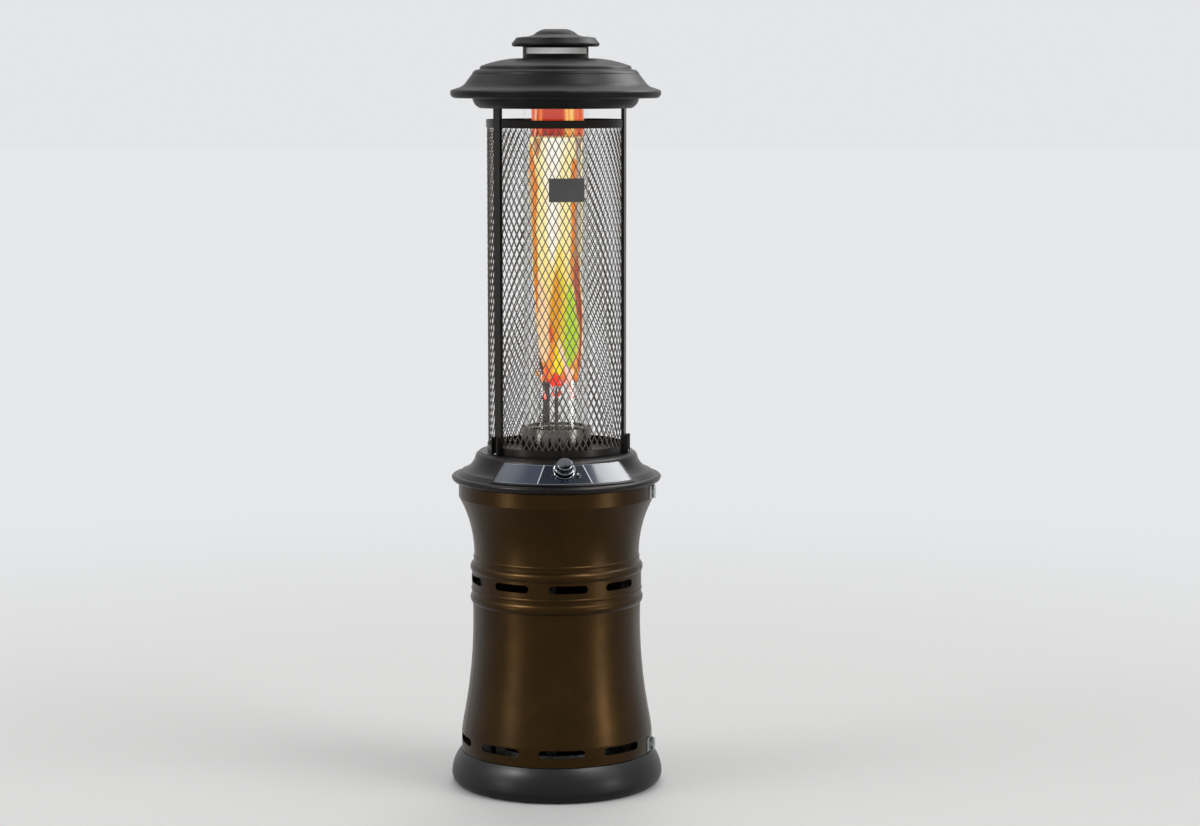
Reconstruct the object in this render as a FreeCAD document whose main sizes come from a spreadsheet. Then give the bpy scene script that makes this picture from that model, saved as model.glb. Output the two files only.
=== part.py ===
import FreeCAD, Part
import math
import os
import Sketcher

# Free-standing gas patio heater with a glass flame column.
# Frame: millimetres, +Z up, origin at the centre of the base on the floor, the control panel faces -Y.
# Angles round the heater are degrees from the front (-Y), growing towards +X.

# Driving sizes, one sheet cell each
SIZES = {
    # Base
    "base_radius": 273.4,          # widest part of the rounded base ring
    "base_height": 88.0,           # ledge that carries the cabinet shell
    "base_belly_level": 26.4,      # height of the widest part
    "base_foot_radius": 247.0,     # where the round meets the floor
    "base_wall": 3.0,
    "base_flange": 25.0,           # inward flange on the floor
    "base_ledge": 13.0,            # inward ledge at the top
    "base_shoulder": 0.245,        # swell of the upper skirt as a share of its width
    "ledge_play": 1.7,             # ledge edge outside the shell's lower band
    "plate_thick": 5.0,
    "plate_lap": 11.0,             # lap of the base plate on the floor flange
    "drain_radius": 20.0,
    "drain_count": 3,
    "pad_radius": 16.0,
    "pad_place_radius": 200.0,
    "pad_count": 4,
    # Cabinet shell
    "shell_wall": 1.5,
    "shell_hollow": 9.0,           # how far the two long curves are hollowed
    "band_radius": 247.3,          # lower straight band
    "band_height": 50.0,
    "crease_radius": 243.4,
    "crease_level": 78.0,          # levels of the shell are above its lower edge
    "lower_neck_radius": 217.0,
    "lower_neck_level": 387.0,
    "bead_height": 24.0,
    "bead_swell": 5.0,
    "vent_band_radius": 219.5,
    "ridge_height": 8.0,
    "ridge_swell": 1.6,
    "ridge_gap": 9.0,
    "vent_band_height": 42.0,
    "vent_lift": 25.0,             # centre of the upper vents above the ridge
    "waist_radius": 213.0,
    "waist_step": 1.5,             # upper ridge and bead stand this far outside the waist
    "top_band_radius": 252.0,
    "top_band_height": 38.5,
    "shell_height": 702.0,
    "vent_length": 99.0,
    "vent_height": 20.0,
    "vent_count": 9,
    "upper_vent_turn": 3.0,
    "lower_vent_length": 118.0,
    "lower_vent_level": 36.0,
    "lower_vent_turn": -2.0,
    # Door
    "door_right_angle": 72.0,
    "door_left_angle": 78.0,
    "door_gap_angle": 0.4,
    "door_gap_below": 2.0,
    "door_gap_above": 2.0,
    "hinge_height": 33.0,
    "hinge_leaf_angle": 5.5,
    "hinge_leaf_thick": 2.0,
    "hinge_barrel_radius": 4.5,
    "hinge_pin_radius": 2.0,
    "hinge_standoff": 0.5,
    "hinge_play": 0.3,
    "pin_clearance": 0.05,
    "hinge_inset": 3.0,            # lower hinge above the door's lower edge
    "hinge_screw_radius": 2.6,
    "hinge_screw_height": 1.5,
    "magnet_height": 15.0,
    "magnet_depth": 10.0,
    "magnet_drop": 6.0,            # below the door's upper edge
    "magnet_angle": 9.0,
    # Frame inside the cabinet
    "post_width": 25.0,
    "post_wall": 1.5,
    "post_place_radius": 184.0,
    "side_post_angle": 95.0,
    "hoop_radius": 160.0,
    "hoop_wall": 2.0,
    "hoop_height": 30.0,
    "hoop_level": 70.0,
    "hoop_leg_width": 30.0,
    # Console
    "deck_level": 869.0,
    "deck_radius": 198.0,
    "deck_thick": 2.0,
    "console_wall": 2.0,
    "console_flange": 16.0,
    "rim_radius": 270.0,
    "rim_level": 13.0,             # widest part of the rim above the console's lower face
    "rim_foot_inset": 13.5,        # the rim's lower edge inside its widest part
    "rim_top_inset": 12.3,
    "rim_top_drop": 60.4,          # where the rim's round begins, below the deck
    "slope_end_inset": 26.8,       # lower end of the slope inside the rim's widest part
    "slope_end_drop": 49.6,
    "console_seat_radius": 247.0,
    "console_shoulder": 11.0,      # width of the round shoulder under the deck's edge
    "console_shoulder_drop": 12.6,
    "shoulder_swell": 2.6,
    "slope_hollow": 6.5,           # hollow of the slope between the shoulder and the rim
    "deck_hole_play": 5.0,
    "deck_edge_round": 0.8,
    "panel_slope": 43.2,           # fall of the control panel below level
    "panel_top_radius": 205.0,
    "panel_top_drop": 8.0,         # below the deck
    "panel_start": 4.8,            # the plate starts this far down its line
    "panel_length": 72.3,
    "panel_half_angle": 45.4,
    "panel_wall": 2.0,
    "panel_window_angle": 16.0,
    "panel_window_start": 12.0,    # opening behind the panel, outside the deck's edge
    "panel_window_end": 17.8,      # and inside the rim
    "panel_window_low": 10.0,      # above the console's lower face
    "cheek_angle": 1.0,
    "label_thick": 0.4,
    "label_lift": 0.1,             # glue under the labels
    "label_margin": 5.0,
    "label_gap": 1.5,
    "centre_label_top": 47.0,
    "centre_label_bottom": 77.0,
    "side_label_angle": 43.5,
    # Knob, valve and igniter
    "knob_along": 24.0,            # distance down the panel
    "knob_radius": 25.0,
    "knob_height": 20.0,
    "knob_standoff": 10.0,
    "knob_shoulder": 5.0,
    "knob_flute_radius": 2.6,
    "knob_flute_count": 14,
    "knob_travel": 4.0,
    "bezel_height": 5.0,
    "bezel_play": 1.5,
    "bezel_wall": 1.8,
    "bezel_floor": 1.5,
    "stem_radius": 4.0,
    "sleeve_radius": 7.0,
    "valve_neck_radius": 11.0,
    "valve_width": 34.0,
    "valve_depth": 32.0,
    "sleeve_depth": 12.0,          # push sleeve under the panel
    "sleeve_rise": 3.0,
    "inlet_radius": 5.5,
    "inlet_length": 14.0,
    "inlet_place_radius": 188.0,   # the gas inlet points down, straight over a drain hole
    "inlet_turn": 3.4,
    "inlet_level": 776.0,
    "inlet_root": 38.0,            # from the inlet's tip up into the valve
    "inlet_collar_radius": 7.5,
    "inlet_collar_height": 8.0,
    "button_along": 41.0,
    "button_angle": 8.4,
    "button_radius": 5.0,
    "button_rise": 5.0,
    "button_travel": 4.0,
    "button_depth": 9.0,
    "igniter_length": 45.0,
    "igniter_radius": 6.9,
    "igniter_flange": 1.1,
    "igniter_rise": 2.0,
    # Burner
    "burner_radius": 60.0,
    "burner_drop": 55.0,
    "burner_flange": 18.0,
    "burner_wall": 1.5,
    "head_radius": 40.0,
    "head_height": 43.0,
    "head_slot_count": 24,
    "rod_radius": 4.5,
    "rod_height": 160.0,
    "pilot_radius": 50.0,
    "pilot_angle": 14.0,
    "pilot_spread": 5.0,           # electrode and thermocouple on both sides of the pilot's middle
    "pilot_width": 18.0,
    "electrode_radius": 2.6,
    "gas_pipe_radius": 4.0,
    "lead_radius": 1.5,
    "line_play": 0.7,              # round the lead and the thermocouple in their holes
    "tilt_switch_turn": 35.0,
    # Glass column
    "glass_radius": 82.4,
    "glass_wall": 3.5,
    "glass_length": 850.0,
    "seat_radius": 91.0,
    "seat_wall": 2.0,
    "seat_height": 62.0,
    "seat_ledge_level": 52.0,
    "seat_slot_count": 24,
    "gasket_thick": 3.0,
    "collar_height": 36.0,
    "collar_wall": 2.0,
    # Guard
    "guard_turn": 6.0,             # the guard stands a little turned on the console
    "guard_height": 877.0,
    "mesh_radius": 175.3,
    "mesh_wall": 1.2,
    "mesh_cell_width": 46.0,
    "mesh_cell_height": 92.0,
    "mesh_strand": 9.0,
    "guard_ring_wall": 2.0,
    "guard_ring_height": 20.0,
    "guard_gap_above": 28.5,       # open gap between the upper ring and the hood pan
    "guard_post_angle": 67.0,
    "guard_post_width": 29.0,
    "guard_post_depth": 8.0,
    "guard_post_inner": 172.0,     # inner face of the posts: the rings pass through slots in them
    "guard_post_wall": 1.5,
    "foot_depth": 10.5,
    "foot_height": 46.0,
    "foot_thick": 3.0,
    "screw_head_radius": 3.4,
    "screw_head_height": 2.5,
    "sign_width": 90.0,
    "sign_height": 59.0,
    "sign_level": 646.0,           # lower edge above the deck
    "sign_turn": 4.0,
    "sign_thick": 1.2,
    # Hood
    "pan_hole_radius": 86.0,
    "pan_floor_radius": 193.0,
    "pan_top_radius": 212.0,
    "pan_height": 27.0,
    "pan_rim_radius": 256.0,
    "pan_wall": 2.0,
    "hood_radius": 268.0,
    "hood_wall": 1.5,
    "hood_height": 99.0,
    "hood_hem": 13.0,
    "neck_radius": 83.5,
    "neck_wall": 2.0,
    "neck_height": 29.0,
    "neck_collar": 11.0,
    "neck_band": 2.5,
    "neck_window_count": 2,
    "neck_window_share": 0.8,      # of the neck's round that is open
    "strip_wall": 1.2,
    "strip_slot_count": 48,
    "cap_radius": 111.7,
    "cap_height": 44.0,
    "cap_edge": 22.0,
    "cap_hole_radius": 75.0,
    "cap_wall": 1.5,
    # Clearance between pieces that are fitted into each other
    "fit_gap": 0.3,
}

document = FreeCAD.newDocument("patio_heater")
sheet = document.addObject("Spreadsheet::Sheet", "Sheet")
for row, (alias, value) in enumerate(SIZES.items(), start=1):
    sheet.set("A" + str(row), alias)
    sheet.set("B" + str(row), str(value))
    sheet.setAlias("B" + str(row), alias)
document.recompute()


class Size:
    """A size: its number, and the expression that ties it to the sheet's cells."""

    def __init__(self, number, text):
        self.number = float(number)
        self.text = text

    def joined(self, sign, other, number):
        return Size(number, "(" + self.text + " " + sign + " " + other.text + ")")

    def __add__(self, other):
        other = as_size(other)
        return self.joined("+", other, self.number + other.number)

    def __sub__(self, other):
        other = as_size(other)
        return self.joined("-", other, self.number - other.number)

    def __mul__(self, other):
        other = as_size(other)
        return self.joined("*", other, self.number * other.number)

    def __truediv__(self, other):
        other = as_size(other)
        return self.joined("/", other, self.number / other.number)

    def __radd__(self, other):
        return as_size(other) + self

    def __rsub__(self, other):
        return as_size(other) - self

    def __rmul__(self, other):
        return as_size(other) * self

    def __rtruediv__(self, other):
        return as_size(other) / self

    def __neg__(self):
        return as_size(0) - self


def as_size(value):
    if isinstance(value, Size):
        return value
    return Size(value, "(" + format(float(value), ".9g") + ")")


def sine(angle):
    angle = as_size(angle)
    return Size(math.sin(math.radians(angle.number)), "sin(" + angle.text + ")")


def cosine(angle):
    angle = as_size(angle)
    return Size(math.cos(math.radians(angle.number)), "cos(" + angle.text + ")")


def square_root(value):
    return Size(math.sqrt(value.number), "sqrt(" + value.text + ")")


def around(radius, angle):
    """Place in plan at a radius and an angle."""
    return radius * sine(angle), -(radius * cosine(angle))


def dome(radius, rise):
    """Bulge of the arc from a rim to the axis whose centre lies on the axis."""
    rise = as_size(rise)
    if rise.number < 0:
        return -dome(radius, -rise)
    chord_squared = radius * radius + rise * rise
    ball = chord_squared / (rise * 2)
    return ball - square_root(ball * ball - chord_squared / 4)


def arc_angle(length, radius):
    """Angle in degrees under an arc of this length."""
    return length / radius * math.degrees(1)


class Cells:
    """The driving sizes by name, as in cells.base_radius."""


cells = Cells()
for alias, value in SIZES.items():
    setattr(cells, alias, Size(value, "Sheet." + alias))

# Levels and radii that follow from the driving sizes
LEFT = 1
RIGHT = -1
FULL_TURN = 360
QUARTER_TURN = 90
ROUND = 1 - math.sqrt(0.5)         # bulge of a quarter round, as a share of its radius
plate_top = cells.base_wall + cells.plate_thick
plate_radius = cells.base_foot_radius - cells.base_flange + cells.plate_lap
shell_bottom = cells.base_height
shell_top = shell_bottom + cells.shell_height
console_bottom = shell_top
flange_level = cells.deck_level - cells.deck_thick
hinge_radius = cells.top_band_radius + cells.hinge_barrel_radius + cells.hinge_standoff
panel_top_level = cells.deck_level - cells.panel_top_drop
label_face = cells.label_lift + cells.label_thick
seat_ledge = cells.deck_level + cells.seat_ledge_level
glass_bottom = seat_ledge + cells.gasket_thick
glass_top = glass_bottom + cells.glass_length
pan_bottom = cells.deck_level + cells.guard_height
pan_top = pan_bottom + cells.pan_height
hood_bottom = pan_top - cells.hood_wall
neck_bottom = hood_bottom + cells.hood_height + cells.hood_wall
cap_bottom = neck_bottom + cells.neck_height
guard_ring_radius = cells.mesh_radius + cells.guard_ring_wall + cells.fit_gap

nodes = {}


def keep(name, item):
    """Name a finished sub-part: its label is the name of its file."""
    item.Label = name
    nodes[name] = item
    return item


def bind(item, prop, value):
    """Tie a property to a size."""
    value = as_size(value)
    item.setExpression(prop, value.text)


def place(item, across=0, back=0, up=0, yaw=0, pitch=0, roll=0):
    """Tie a placement to sizes: a position, then turns about Z, Y and X."""
    numbers = [as_size(value).text for value in (across, back, up, yaw, pitch, roll)]
    text = "placement(vector({}; {}; {}); rotation({}; {}; {}))".format(*numbers)
    item.setExpression("Placement", text)
    return item


def on_panel(item, along, angle=0, depth=0):
    """Stand an item on the control panel, its own +Z along the panel's outward normal."""
    radius = cells.panel_top_radius + along * cosine(cells.panel_slope) + depth * sine(cells.panel_slope)
    level = panel_top_level - along * sine(cells.panel_slope) + depth * cosine(cells.panel_slope)
    place(item, radius * sine(angle), -(radius * cosine(angle)), level, yaw=angle, roll=cells.panel_slope)
    return item


def origin_feature(body, role):
    return [feature for feature in body.Origin.OriginFeatures if feature.Role == role][0]


def new_body(name):
    return document.addObject("PartDesign::Body", name)


def bulge_of(corner):
    """How far the edge that arrives at this corner swells to the right of its way, or None."""
    return as_size(corner[2]) if len(corner) > 2 else None


def draw(drawing, corners):
    """Closed outline in a sketch. A corner is (across, up), or (across, up, bulge) after an arc."""
    points = [(as_size(corner[0]), as_size(corner[1])) for corner in corners]
    count = len(points)
    edges = []
    ends = []
    centres = []
    for index in range(count):
        first = points[index]
        last = points[(index + 1) % count]
        bulge = bulge_of(corners[(index + 1) % count])
        start = FreeCAD.Vector(first[0].number, first[1].number, 0)
        end = FreeCAD.Vector(last[0].number, last[1].number, 0)
        if bulge is None:
            edges.append(Part.LineSegment(start, end))
            ends.append((1, 2))
            continue
        step_across = last[0] - first[0]
        step_up = last[1] - first[1]
        chord_squared = step_across * step_across + step_up * step_up
        offset = (bulge * bulge - chord_squared / 4) / (bulge * 2) / square_root(chord_squared)
        across = (first[0] + last[0]) / 2 + step_up * offset
        up = (first[1] + last[1]) / 2 - step_across * offset
        centre = FreeCAD.Vector(across.number, up.number, 0)
        circle = Part.Circle(centre, FreeCAD.Vector(0, 0, 1), (start - centre).Length)
        forward = bulge.number > 0
        from_point, to_point = (start, end) if forward else (end, start)
        begin = math.atan2(from_point.y - centre.y, from_point.x - centre.x)
        finish = math.atan2(to_point.y - centre.y, to_point.x - centre.x)
        if finish <= begin:
            finish = finish + 2 * math.pi
        edges.append(Part.ArcOfCircle(circle, begin, finish))
        ends.append((1, 2) if forward else (2, 1))
        steep = abs(step_up.number) >= abs(step_across.number)
        centres.append((index, "DistanceX", across) if steep else (index, "DistanceY", up))
    base = drawing.GeometryCount
    drawing.addGeometry(edges)
    for index in range(count):
        following = (index + 1) % count
        drawing.addConstraint(Sketcher.Constraint(
            "Coincident", base + index, ends[index][1], base + following, ends[following][0]))
    fixed = []
    for index in range(count):
        fixed.append((index, "DistanceX", points[index][0], ends[index][0]))
        fixed.append((index, "DistanceY", points[index][1], ends[index][0]))
    for index, kind, value in centres:
        fixed.append((index, kind, value, 3))
    for index, kind, value, vertex in fixed:
        number = drawing.addConstraint(Sketcher.Constraint(kind, -1, 1, base + index, vertex, value.number))
        drawing.setExpression("Constraints[" + str(number) + "]", value.text)


def sketch(body, role, outlines, lift=0, turn=0):
    """Sketch on one of the body's own planes, turned about Z and then lifted along its normal."""
    drawing = body.newObject("Sketcher::SketchObject", body.Name + "_sketch")
    drawing.AttachmentSupport = [(origin_feature(body, role), "")]
    drawing.MapMode = "FlatFace"
    lift = as_size(lift)
    turn = as_size(turn)
    text = "placement(vector({}; 0; {}); rotation(0; {}; 0))"
    numbers = ((lift * sine(turn)).text, (lift * cosine(turn)).text, turn.text)
    drawing.setExpression("AttachmentOffset", text.format(*numbers))
    for outline in outlines:
        draw(drawing, outline)
    return drawing


def lathe(name, corners, begin=None, sweep=None):
    """Body turned about Z from a (radius, level) outline, whole or from one angle over a sweep."""
    body = new_body(name)
    drawing = sketch(body, "XZ_Plane", [corners])
    turned = body.newObject("PartDesign::Revolution", name + "_turned")
    turned.Profile = (drawing, [""])
    turned.ReferenceAxis = (drawing, ["V_Axis"])
    if sweep is None:
        turned.Angle = FULL_TURN
    else:
        bind(turned, "Angle", sweep)
        place(body, yaw=as_size(begin) - QUARTER_TURN)
    return body


def pad(name, outlines, height, level=0):
    """Body raised along Z from closed outlines in plan."""
    body = new_body(name)
    drawing = sketch(body, "XY_Plane", outlines, lift=level)
    raised = body.newObject("PartDesign::Pad", name + "_raised")
    raised.Profile = (drawing, [""])
    bind(raised, "Length", height)
    return body


def add_pad(body, outlines, height, level=0):
    """Raise one more outline on a body."""
    drawing = sketch(body, "XY_Plane", outlines, lift=level)
    raised = body.newObject("PartDesign::Pad", body.Name + "_raised")
    raised.Profile = (drawing, [""])
    bind(raised, "Length", height)
    return raised


def cut(body, role, outlines, depth, lift=0, turn=0):
    """Cut outlines into a body, to a depth along the sketch's normal."""
    drawing = sketch(body, role, outlines, lift=lift, turn=turn)
    pocket = body.newObject("PartDesign::Pocket", body.Name + "_cut")
    pocket.Profile = (drawing, [""])
    pocket.Type = 0
    bind(pocket, "Length", depth)
    pocket.Reversed = True
    return pocket


def cut_wall(body, outline, radius, turn=0):
    """Cut an outline through one side of a round wall, starting inside it and ending outside."""
    start_share = 0.8
    return cut(body, "XZ_Plane", [outline], radius / 2, lift=radius * start_share, turn=turn)


def ring_of(body, feature, count, sweep=FULL_TURN):
    """Repeat a feature round Z, over the full turn or from its own place over part of it."""
    pattern = body.newObject("PartDesign::PolarPattern", body.Name + "_ring")
    pattern.Originals = [feature]
    pattern.Axis = (origin_feature(body, "Z_Axis"), [""])
    bind(pattern, "Angle", sweep)
    bind(pattern, "Occurrences", count)
    body.Tip = pattern
    return pattern


def rectangle(left, bottom, right, top):
    return [(left, bottom), (right, bottom), (right, top), (left, top)]


def circle_outline(radius, across=0, up=0):
    """Circle as two half-round arcs."""
    across = as_size(across)
    return [(across - radius, up, radius), (across + radius, up, radius)]


def stadium(length, height, level):
    """Slot with round ends, centred across."""
    straight = (length - height) / 2
    round_end = height / 2
    return [
        (straight, level - round_end),
        (straight, level + round_end, round_end),
        (-straight, level + round_end),
        (-straight, level - round_end, round_end),
    ]


def edge_ways(start, end, bulge):
    """Unit directions at both ends of an edge, and its radius with a sign: + turns to the left."""
    chord = end - start
    length = chord.Length
    along = chord * (1 / length)
    if bulge is None:
        return along, along, None
    half = bulge.number
    radius = (length * length / 4 + half * half) / (2 * half)
    lean = math.asin(min(1.0, length / (2 * abs(radius)))) * (1 if half > 0 else -1)
    turn_axis = FreeCAD.Vector(0, 0, 1)
    first = FreeCAD.Rotation(turn_axis, math.degrees(-lean)).multVec(along)
    last = FreeCAD.Rotation(turn_axis, math.degrees(lean)).multVec(along)
    return first, last, radius


def skin(path, wall, side):
    """Closed outline of a sheet: the open path, and the same path moved by the wall to one side."""
    points = [FreeCAD.Vector(as_size(c[0]).number, as_size(c[1]).number, 0) for c in path]
    ways = [edge_ways(points[i], points[i + 1], bulge_of(path[i + 1])) for i in range(len(path) - 1)]
    moved = []
    for index in range(len(path)):
        normals = []
        if index > 0:
            way = ways[index - 1][1]
            normals.append(FreeCAD.Vector(-way.y, way.x, 0))
        if index < len(path) - 1:
            way = ways[index][0]
            normals.append(FreeCAD.Vector(-way.y, way.x, 0))
        total = normals[0] + normals[-1]
        shift = total * (side / (1 + normals[0].dot(normals[-1])))
        moved.append((as_size(path[index][0]) + wall * shift.x, as_size(path[index][1]) + wall * shift.y))
    closing = [moved[-1]]
    for index in range(len(path) - 2, -1, -1):
        bulge = bulge_of(path[index + 1])
        if bulge is None:
            closing.append(moved[index])
            continue
        radius = abs(ways[index][2]) - side * wall.number * (1 if bulge.number > 0 else -1)
        chord = math.hypot(moved[index + 1][0].number - moved[index][0].number,
                           moved[index + 1][1].number - moved[index][1].number)
        height = radius - math.sqrt(radius * radius - chord * chord / 4)
        closing.append((moved[index][0], moved[index][1], -(bulge * (height / abs(bulge.number)))))
    return [tuple(corner) for corner in path] + closing


def remove_sector(body, begin, finish, height, level=0):
    """Cut away everything between two angles round Z."""
    reach = cells.base_radius * 2
    steps = 4
    corners = [(0, 0)]
    for index in range(steps + 1):
        angle = begin + (finish - begin) * (index / steps)
        corners.append((reach * sine(angle), -(reach * cosine(angle))))
    return cut(body, "XY_Plane", [corners], height, lift=level)


def group(name, items):
    """Several equal solids as one node."""
    compound = document.addObject("Part::Compound", name)
    compound.Links = items
    return keep(name, compound)


def cylinder(name, radius, height):
    item = document.addObject("Part::Cylinder", name)
    bind(item, "Radius", radius)
    bind(item, "Height", height)
    return item


def fused(name, items):
    joined = document.addObject("Part::MultiFuse", name)
    joined.Shapes = items
    return joined


def without(name, item, tool):
    """An item less the room that another one takes."""
    rest = document.addObject("Part::Cut", name)
    rest.Base = item
    rest.Tool = tool
    return rest


def rounded_wire(points):
    """Wire through points, each corner rounded as widely as its two runs allow."""
    vectors = [FreeCAD.Vector(*point) for point in points]
    edges = []
    start = vectors[0]
    for index in range(1, len(vectors) - 1):
        before = vectors[index] - vectors[index - 1]
        after = vectors[index + 1] - vectors[index]
        half_turn = before.getAngle(after) / 2
        setback = 0.45 * min(before.Length, after.Length)
        first = vectors[index] - before.normalize() * setback
        last = vectors[index] + after.normalize() * setback
        radius = setback / math.tan(half_turn)
        inward = (after - before).normalize()
        middle = vectors[index] + inward * (radius / math.cos(half_turn) - radius)
        edges.append(Part.LineSegment(start, first).toShape())
        edges.append(Part.Arc(first, middle, last).toShape())
        start = last
    edges.append(Part.LineSegment(start, vectors[-1]).toShape())
    return Part.Wire(edges)


def route_tube(name, points, radius, bore=None):
    """Tube along a route of straight runs and tangent arcs."""
    wire = rounded_wire([[as_size(value).number for value in point] for point in points])
    arcs = [round(edge.Curve.Radius, 1) for edge in wire.Edges if isinstance(edge.Curve, Part.Circle)]
    print(name, "is", round(wire.Length, 1), "mm long, with arcs of radius", arcs)
    start = wire.Edges[0].valueAt(wire.Edges[0].FirstParameter)
    way = wire.Edges[0].tangentAt(wire.Edges[0].FirstParameter)

    def sweep(size):
        ring = Part.Wire(Part.Circle(start, way, size.number).toShape())
        return wire.makePipeShell([ring], True, False)

    shape = sweep(radius)
    if bore is not None:
        shape = shape.cut(sweep(bore))
    item = document.addObject("Part::Feature", name)
    item.Shape = shape
    return keep(name, item)


def panel_point(along, angle, depth):
    """Point under or over the control panel, for the ends of pipes and leads."""
    radius = cells.panel_top_radius + along * cosine(cells.panel_slope) + depth * sine(cells.panel_slope)
    level = panel_top_level - along * sine(cells.panel_slope) + depth * cosine(cells.panel_slope)
    return (radius * sine(angle), -(radius * cosine(angle)), level)


# Base ring: rounded skirt with a floor flange and a top ledge, open inwards
def make_base():
    ledge_radius = cells.band_radius + cells.ledge_play
    belly_round = cells.base_radius - cells.base_foot_radius
    # the arc over the belly starts upright there and meets the ledge
    upper_bulge = (cells.base_radius - ledge_radius) * cells.base_shoulder
    path = [
        (cells.base_foot_radius - cells.base_flange, 0),
        (cells.base_foot_radius, 0),
        (cells.base_radius, cells.base_belly_level, belly_round * ROUND),
        (ledge_radius, cells.base_height, upper_bulge),
        (ledge_radius - cells.base_ledge, cells.base_height),
    ]
    keep("base_ring", lathe("base_ring", skin(path, cells.base_wall, LEFT)))
    # Drain holes let heavy gas out of the cabinet, the first one straight under the gas inlet
    plate = lathe("base_plate", rectangle(0, cells.base_wall, plate_radius, plate_top))
    drain = circle_outline(cells.drain_radius, *around(cells.inlet_place_radius, cells.inlet_turn))
    hole = cut(plate, "XY_Plane", [drain], plate_top * 2)
    ring_of(plate, hole, cells.drain_count)
    keep("base_plate", plate)
    pads = []
    for index in range(int(cells.pad_count.number)):
        angle = FULL_TURN / cells.pad_count * (index + 0.5)
        foot = cylinder("foot_pad_" + str(index + 1), cells.pad_radius, cells.base_wall)
        pads.append(place(foot, *around(cells.pad_place_radius, angle)))
    group("foot_pads", pads)


# Hoop that keeps the gas bottle on the base plate, on three welded legs
def make_bottle_hoop():
    leg_count = 3
    weld_lap = 1
    leg_lap = 5
    inner = cells.hoop_radius - cells.hoop_wall
    hoop = lathe("bottle_hoop", rectangle(inner, cells.hoop_level, cells.hoop_radius,
                                          cells.hoop_level + cells.hoop_height))
    half = cells.hoop_leg_width / 2
    leg = rectangle(-half, -cells.hoop_radius, half, -(inner - weld_lap))
    raised = add_pad(hoop, [leg], cells.hoop_level + leg_lap - plate_top, level=plate_top)
    ring_of(hoop, raised, leg_count)
    keep("bottle_hoop", hoop)


# Three square tubes that carry the console
def make_frame_posts():
    half = cells.post_width / 2
    inner = half - cells.post_wall
    angles = {"left": -cells.side_post_angle, "right": cells.side_post_angle, "rear": as_size(180)}
    for side, angle in angles.items():
        name = "frame_post_" + side
        outlines = [rectangle(-half, -(cells.post_place_radius + half), half, half - cells.post_place_radius),
                    rectangle(-inner, -(cells.post_place_radius + inner), inner,
                              inner - cells.post_place_radius)]
        height = flange_level - cells.console_wall - plate_top
        post = pad(name, outlines, height, level=plate_top)
        keep(name, place(post, yaw=angle))


# Outer line of the cabinet shell, from its lower edge to its upper edge
def shell_path(lower_edge, upper_edge):
    def level(height):
        return shell_bottom + height

    lower_bead = level(cells.lower_neck_level)
    lower_ridge = lower_bead + cells.bead_height + cells.ridge_gap
    vent_from = lower_ridge + cells.ridge_height
    upper_bead = vent_from + cells.vent_band_height
    upper_ridge = upper_bead + cells.bead_height + cells.ridge_gap
    waist = upper_ridge + cells.ridge_height + cells.ridge_gap
    return [
        (cells.band_radius, lower_edge),
        (cells.band_radius, level(cells.band_height)),
        (cells.crease_radius, level(cells.crease_level)),
        (cells.lower_neck_radius, lower_bead, -cells.shell_hollow),
        (cells.vent_band_radius, lower_bead + cells.bead_height, cells.bead_swell),
        (cells.vent_band_radius, lower_ridge),
        (cells.vent_band_radius, lower_ridge + cells.ridge_height, cells.ridge_swell),
        (cells.vent_band_radius, upper_bead),
        (cells.waist_radius + cells.waist_step, upper_bead + cells.bead_height, cells.bead_swell * 1.2),
        (cells.waist_radius + cells.waist_step, upper_ridge),
        (cells.waist_radius, upper_ridge + cells.ridge_height, cells.ridge_swell),
        (cells.waist_radius, waist),
        (cells.top_band_radius, level(cells.shell_height - cells.top_band_height), -cells.shell_hollow),
        (cells.top_band_radius, upper_edge),
    ]


def shell_sheet(name, lower_edge, upper_edge):
    """Whole turned shell with both rows of vent slots, one place left out at the hinges."""
    body = lathe(name, skin(shell_path(lower_edge, upper_edge), cells.shell_wall, LEFT))
    ridge_top = cells.lower_neck_level + cells.bead_height + cells.ridge_gap + cells.ridge_height
    rows = (
        (cells.vent_length, ridge_top + cells.vent_lift, cells.upper_vent_turn, cells.waist_radius),
        (cells.lower_vent_length, cells.lower_vent_level, cells.lower_vent_turn, cells.band_radius),
    )
    step = FULL_TURN / cells.vent_count
    # the two steps round the hinges stay closed, and the row starts behind them
    closed_steps = 2
    first_step = 3
    for length, level, turn, radius in rows:
        slot = stadium(length, cells.vent_height, shell_bottom + level)
        feature = cut_wall(body, slot, radius, turn=turn + step * first_step)
        ring_of(body, feature, cells.vent_count - 1, sweep=FULL_TURN - step * closed_steps)
    return body


# Cabinet: fixed rear shell, and a door shell between the two seams
def make_shells():
    rear = shell_sheet("rear_shell", shell_bottom, shell_top)
    remove_sector(rear, -cells.door_left_angle, cells.door_right_angle, shell_top)
    keep("rear_shell", rear)
    door = shell_sheet("door_panel", shell_bottom + cells.door_gap_below, shell_top - cells.door_gap_above)
    remove_sector(door, cells.door_right_angle - cells.door_gap_angle,
                  FULL_TURN - cells.door_left_angle + cells.door_gap_angle, shell_top)
    keep("door_panel", door)
    # Magnet behind the free edge of the door, on the rear shell
    outer = cells.top_band_radius - cells.shell_wall - cells.fit_gap
    level = shell_top - cells.door_gap_above - cells.magnet_height - cells.magnet_drop
    magnet = lathe("door_magnet", rectangle(outer - cells.magnet_depth, level, outer,
                                            level + cells.magnet_height),
                   begin=-cells.door_left_angle - cells.magnet_angle * 2 / 3, sweep=cells.magnet_angle)
    keep("door_magnet", magnet)


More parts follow.
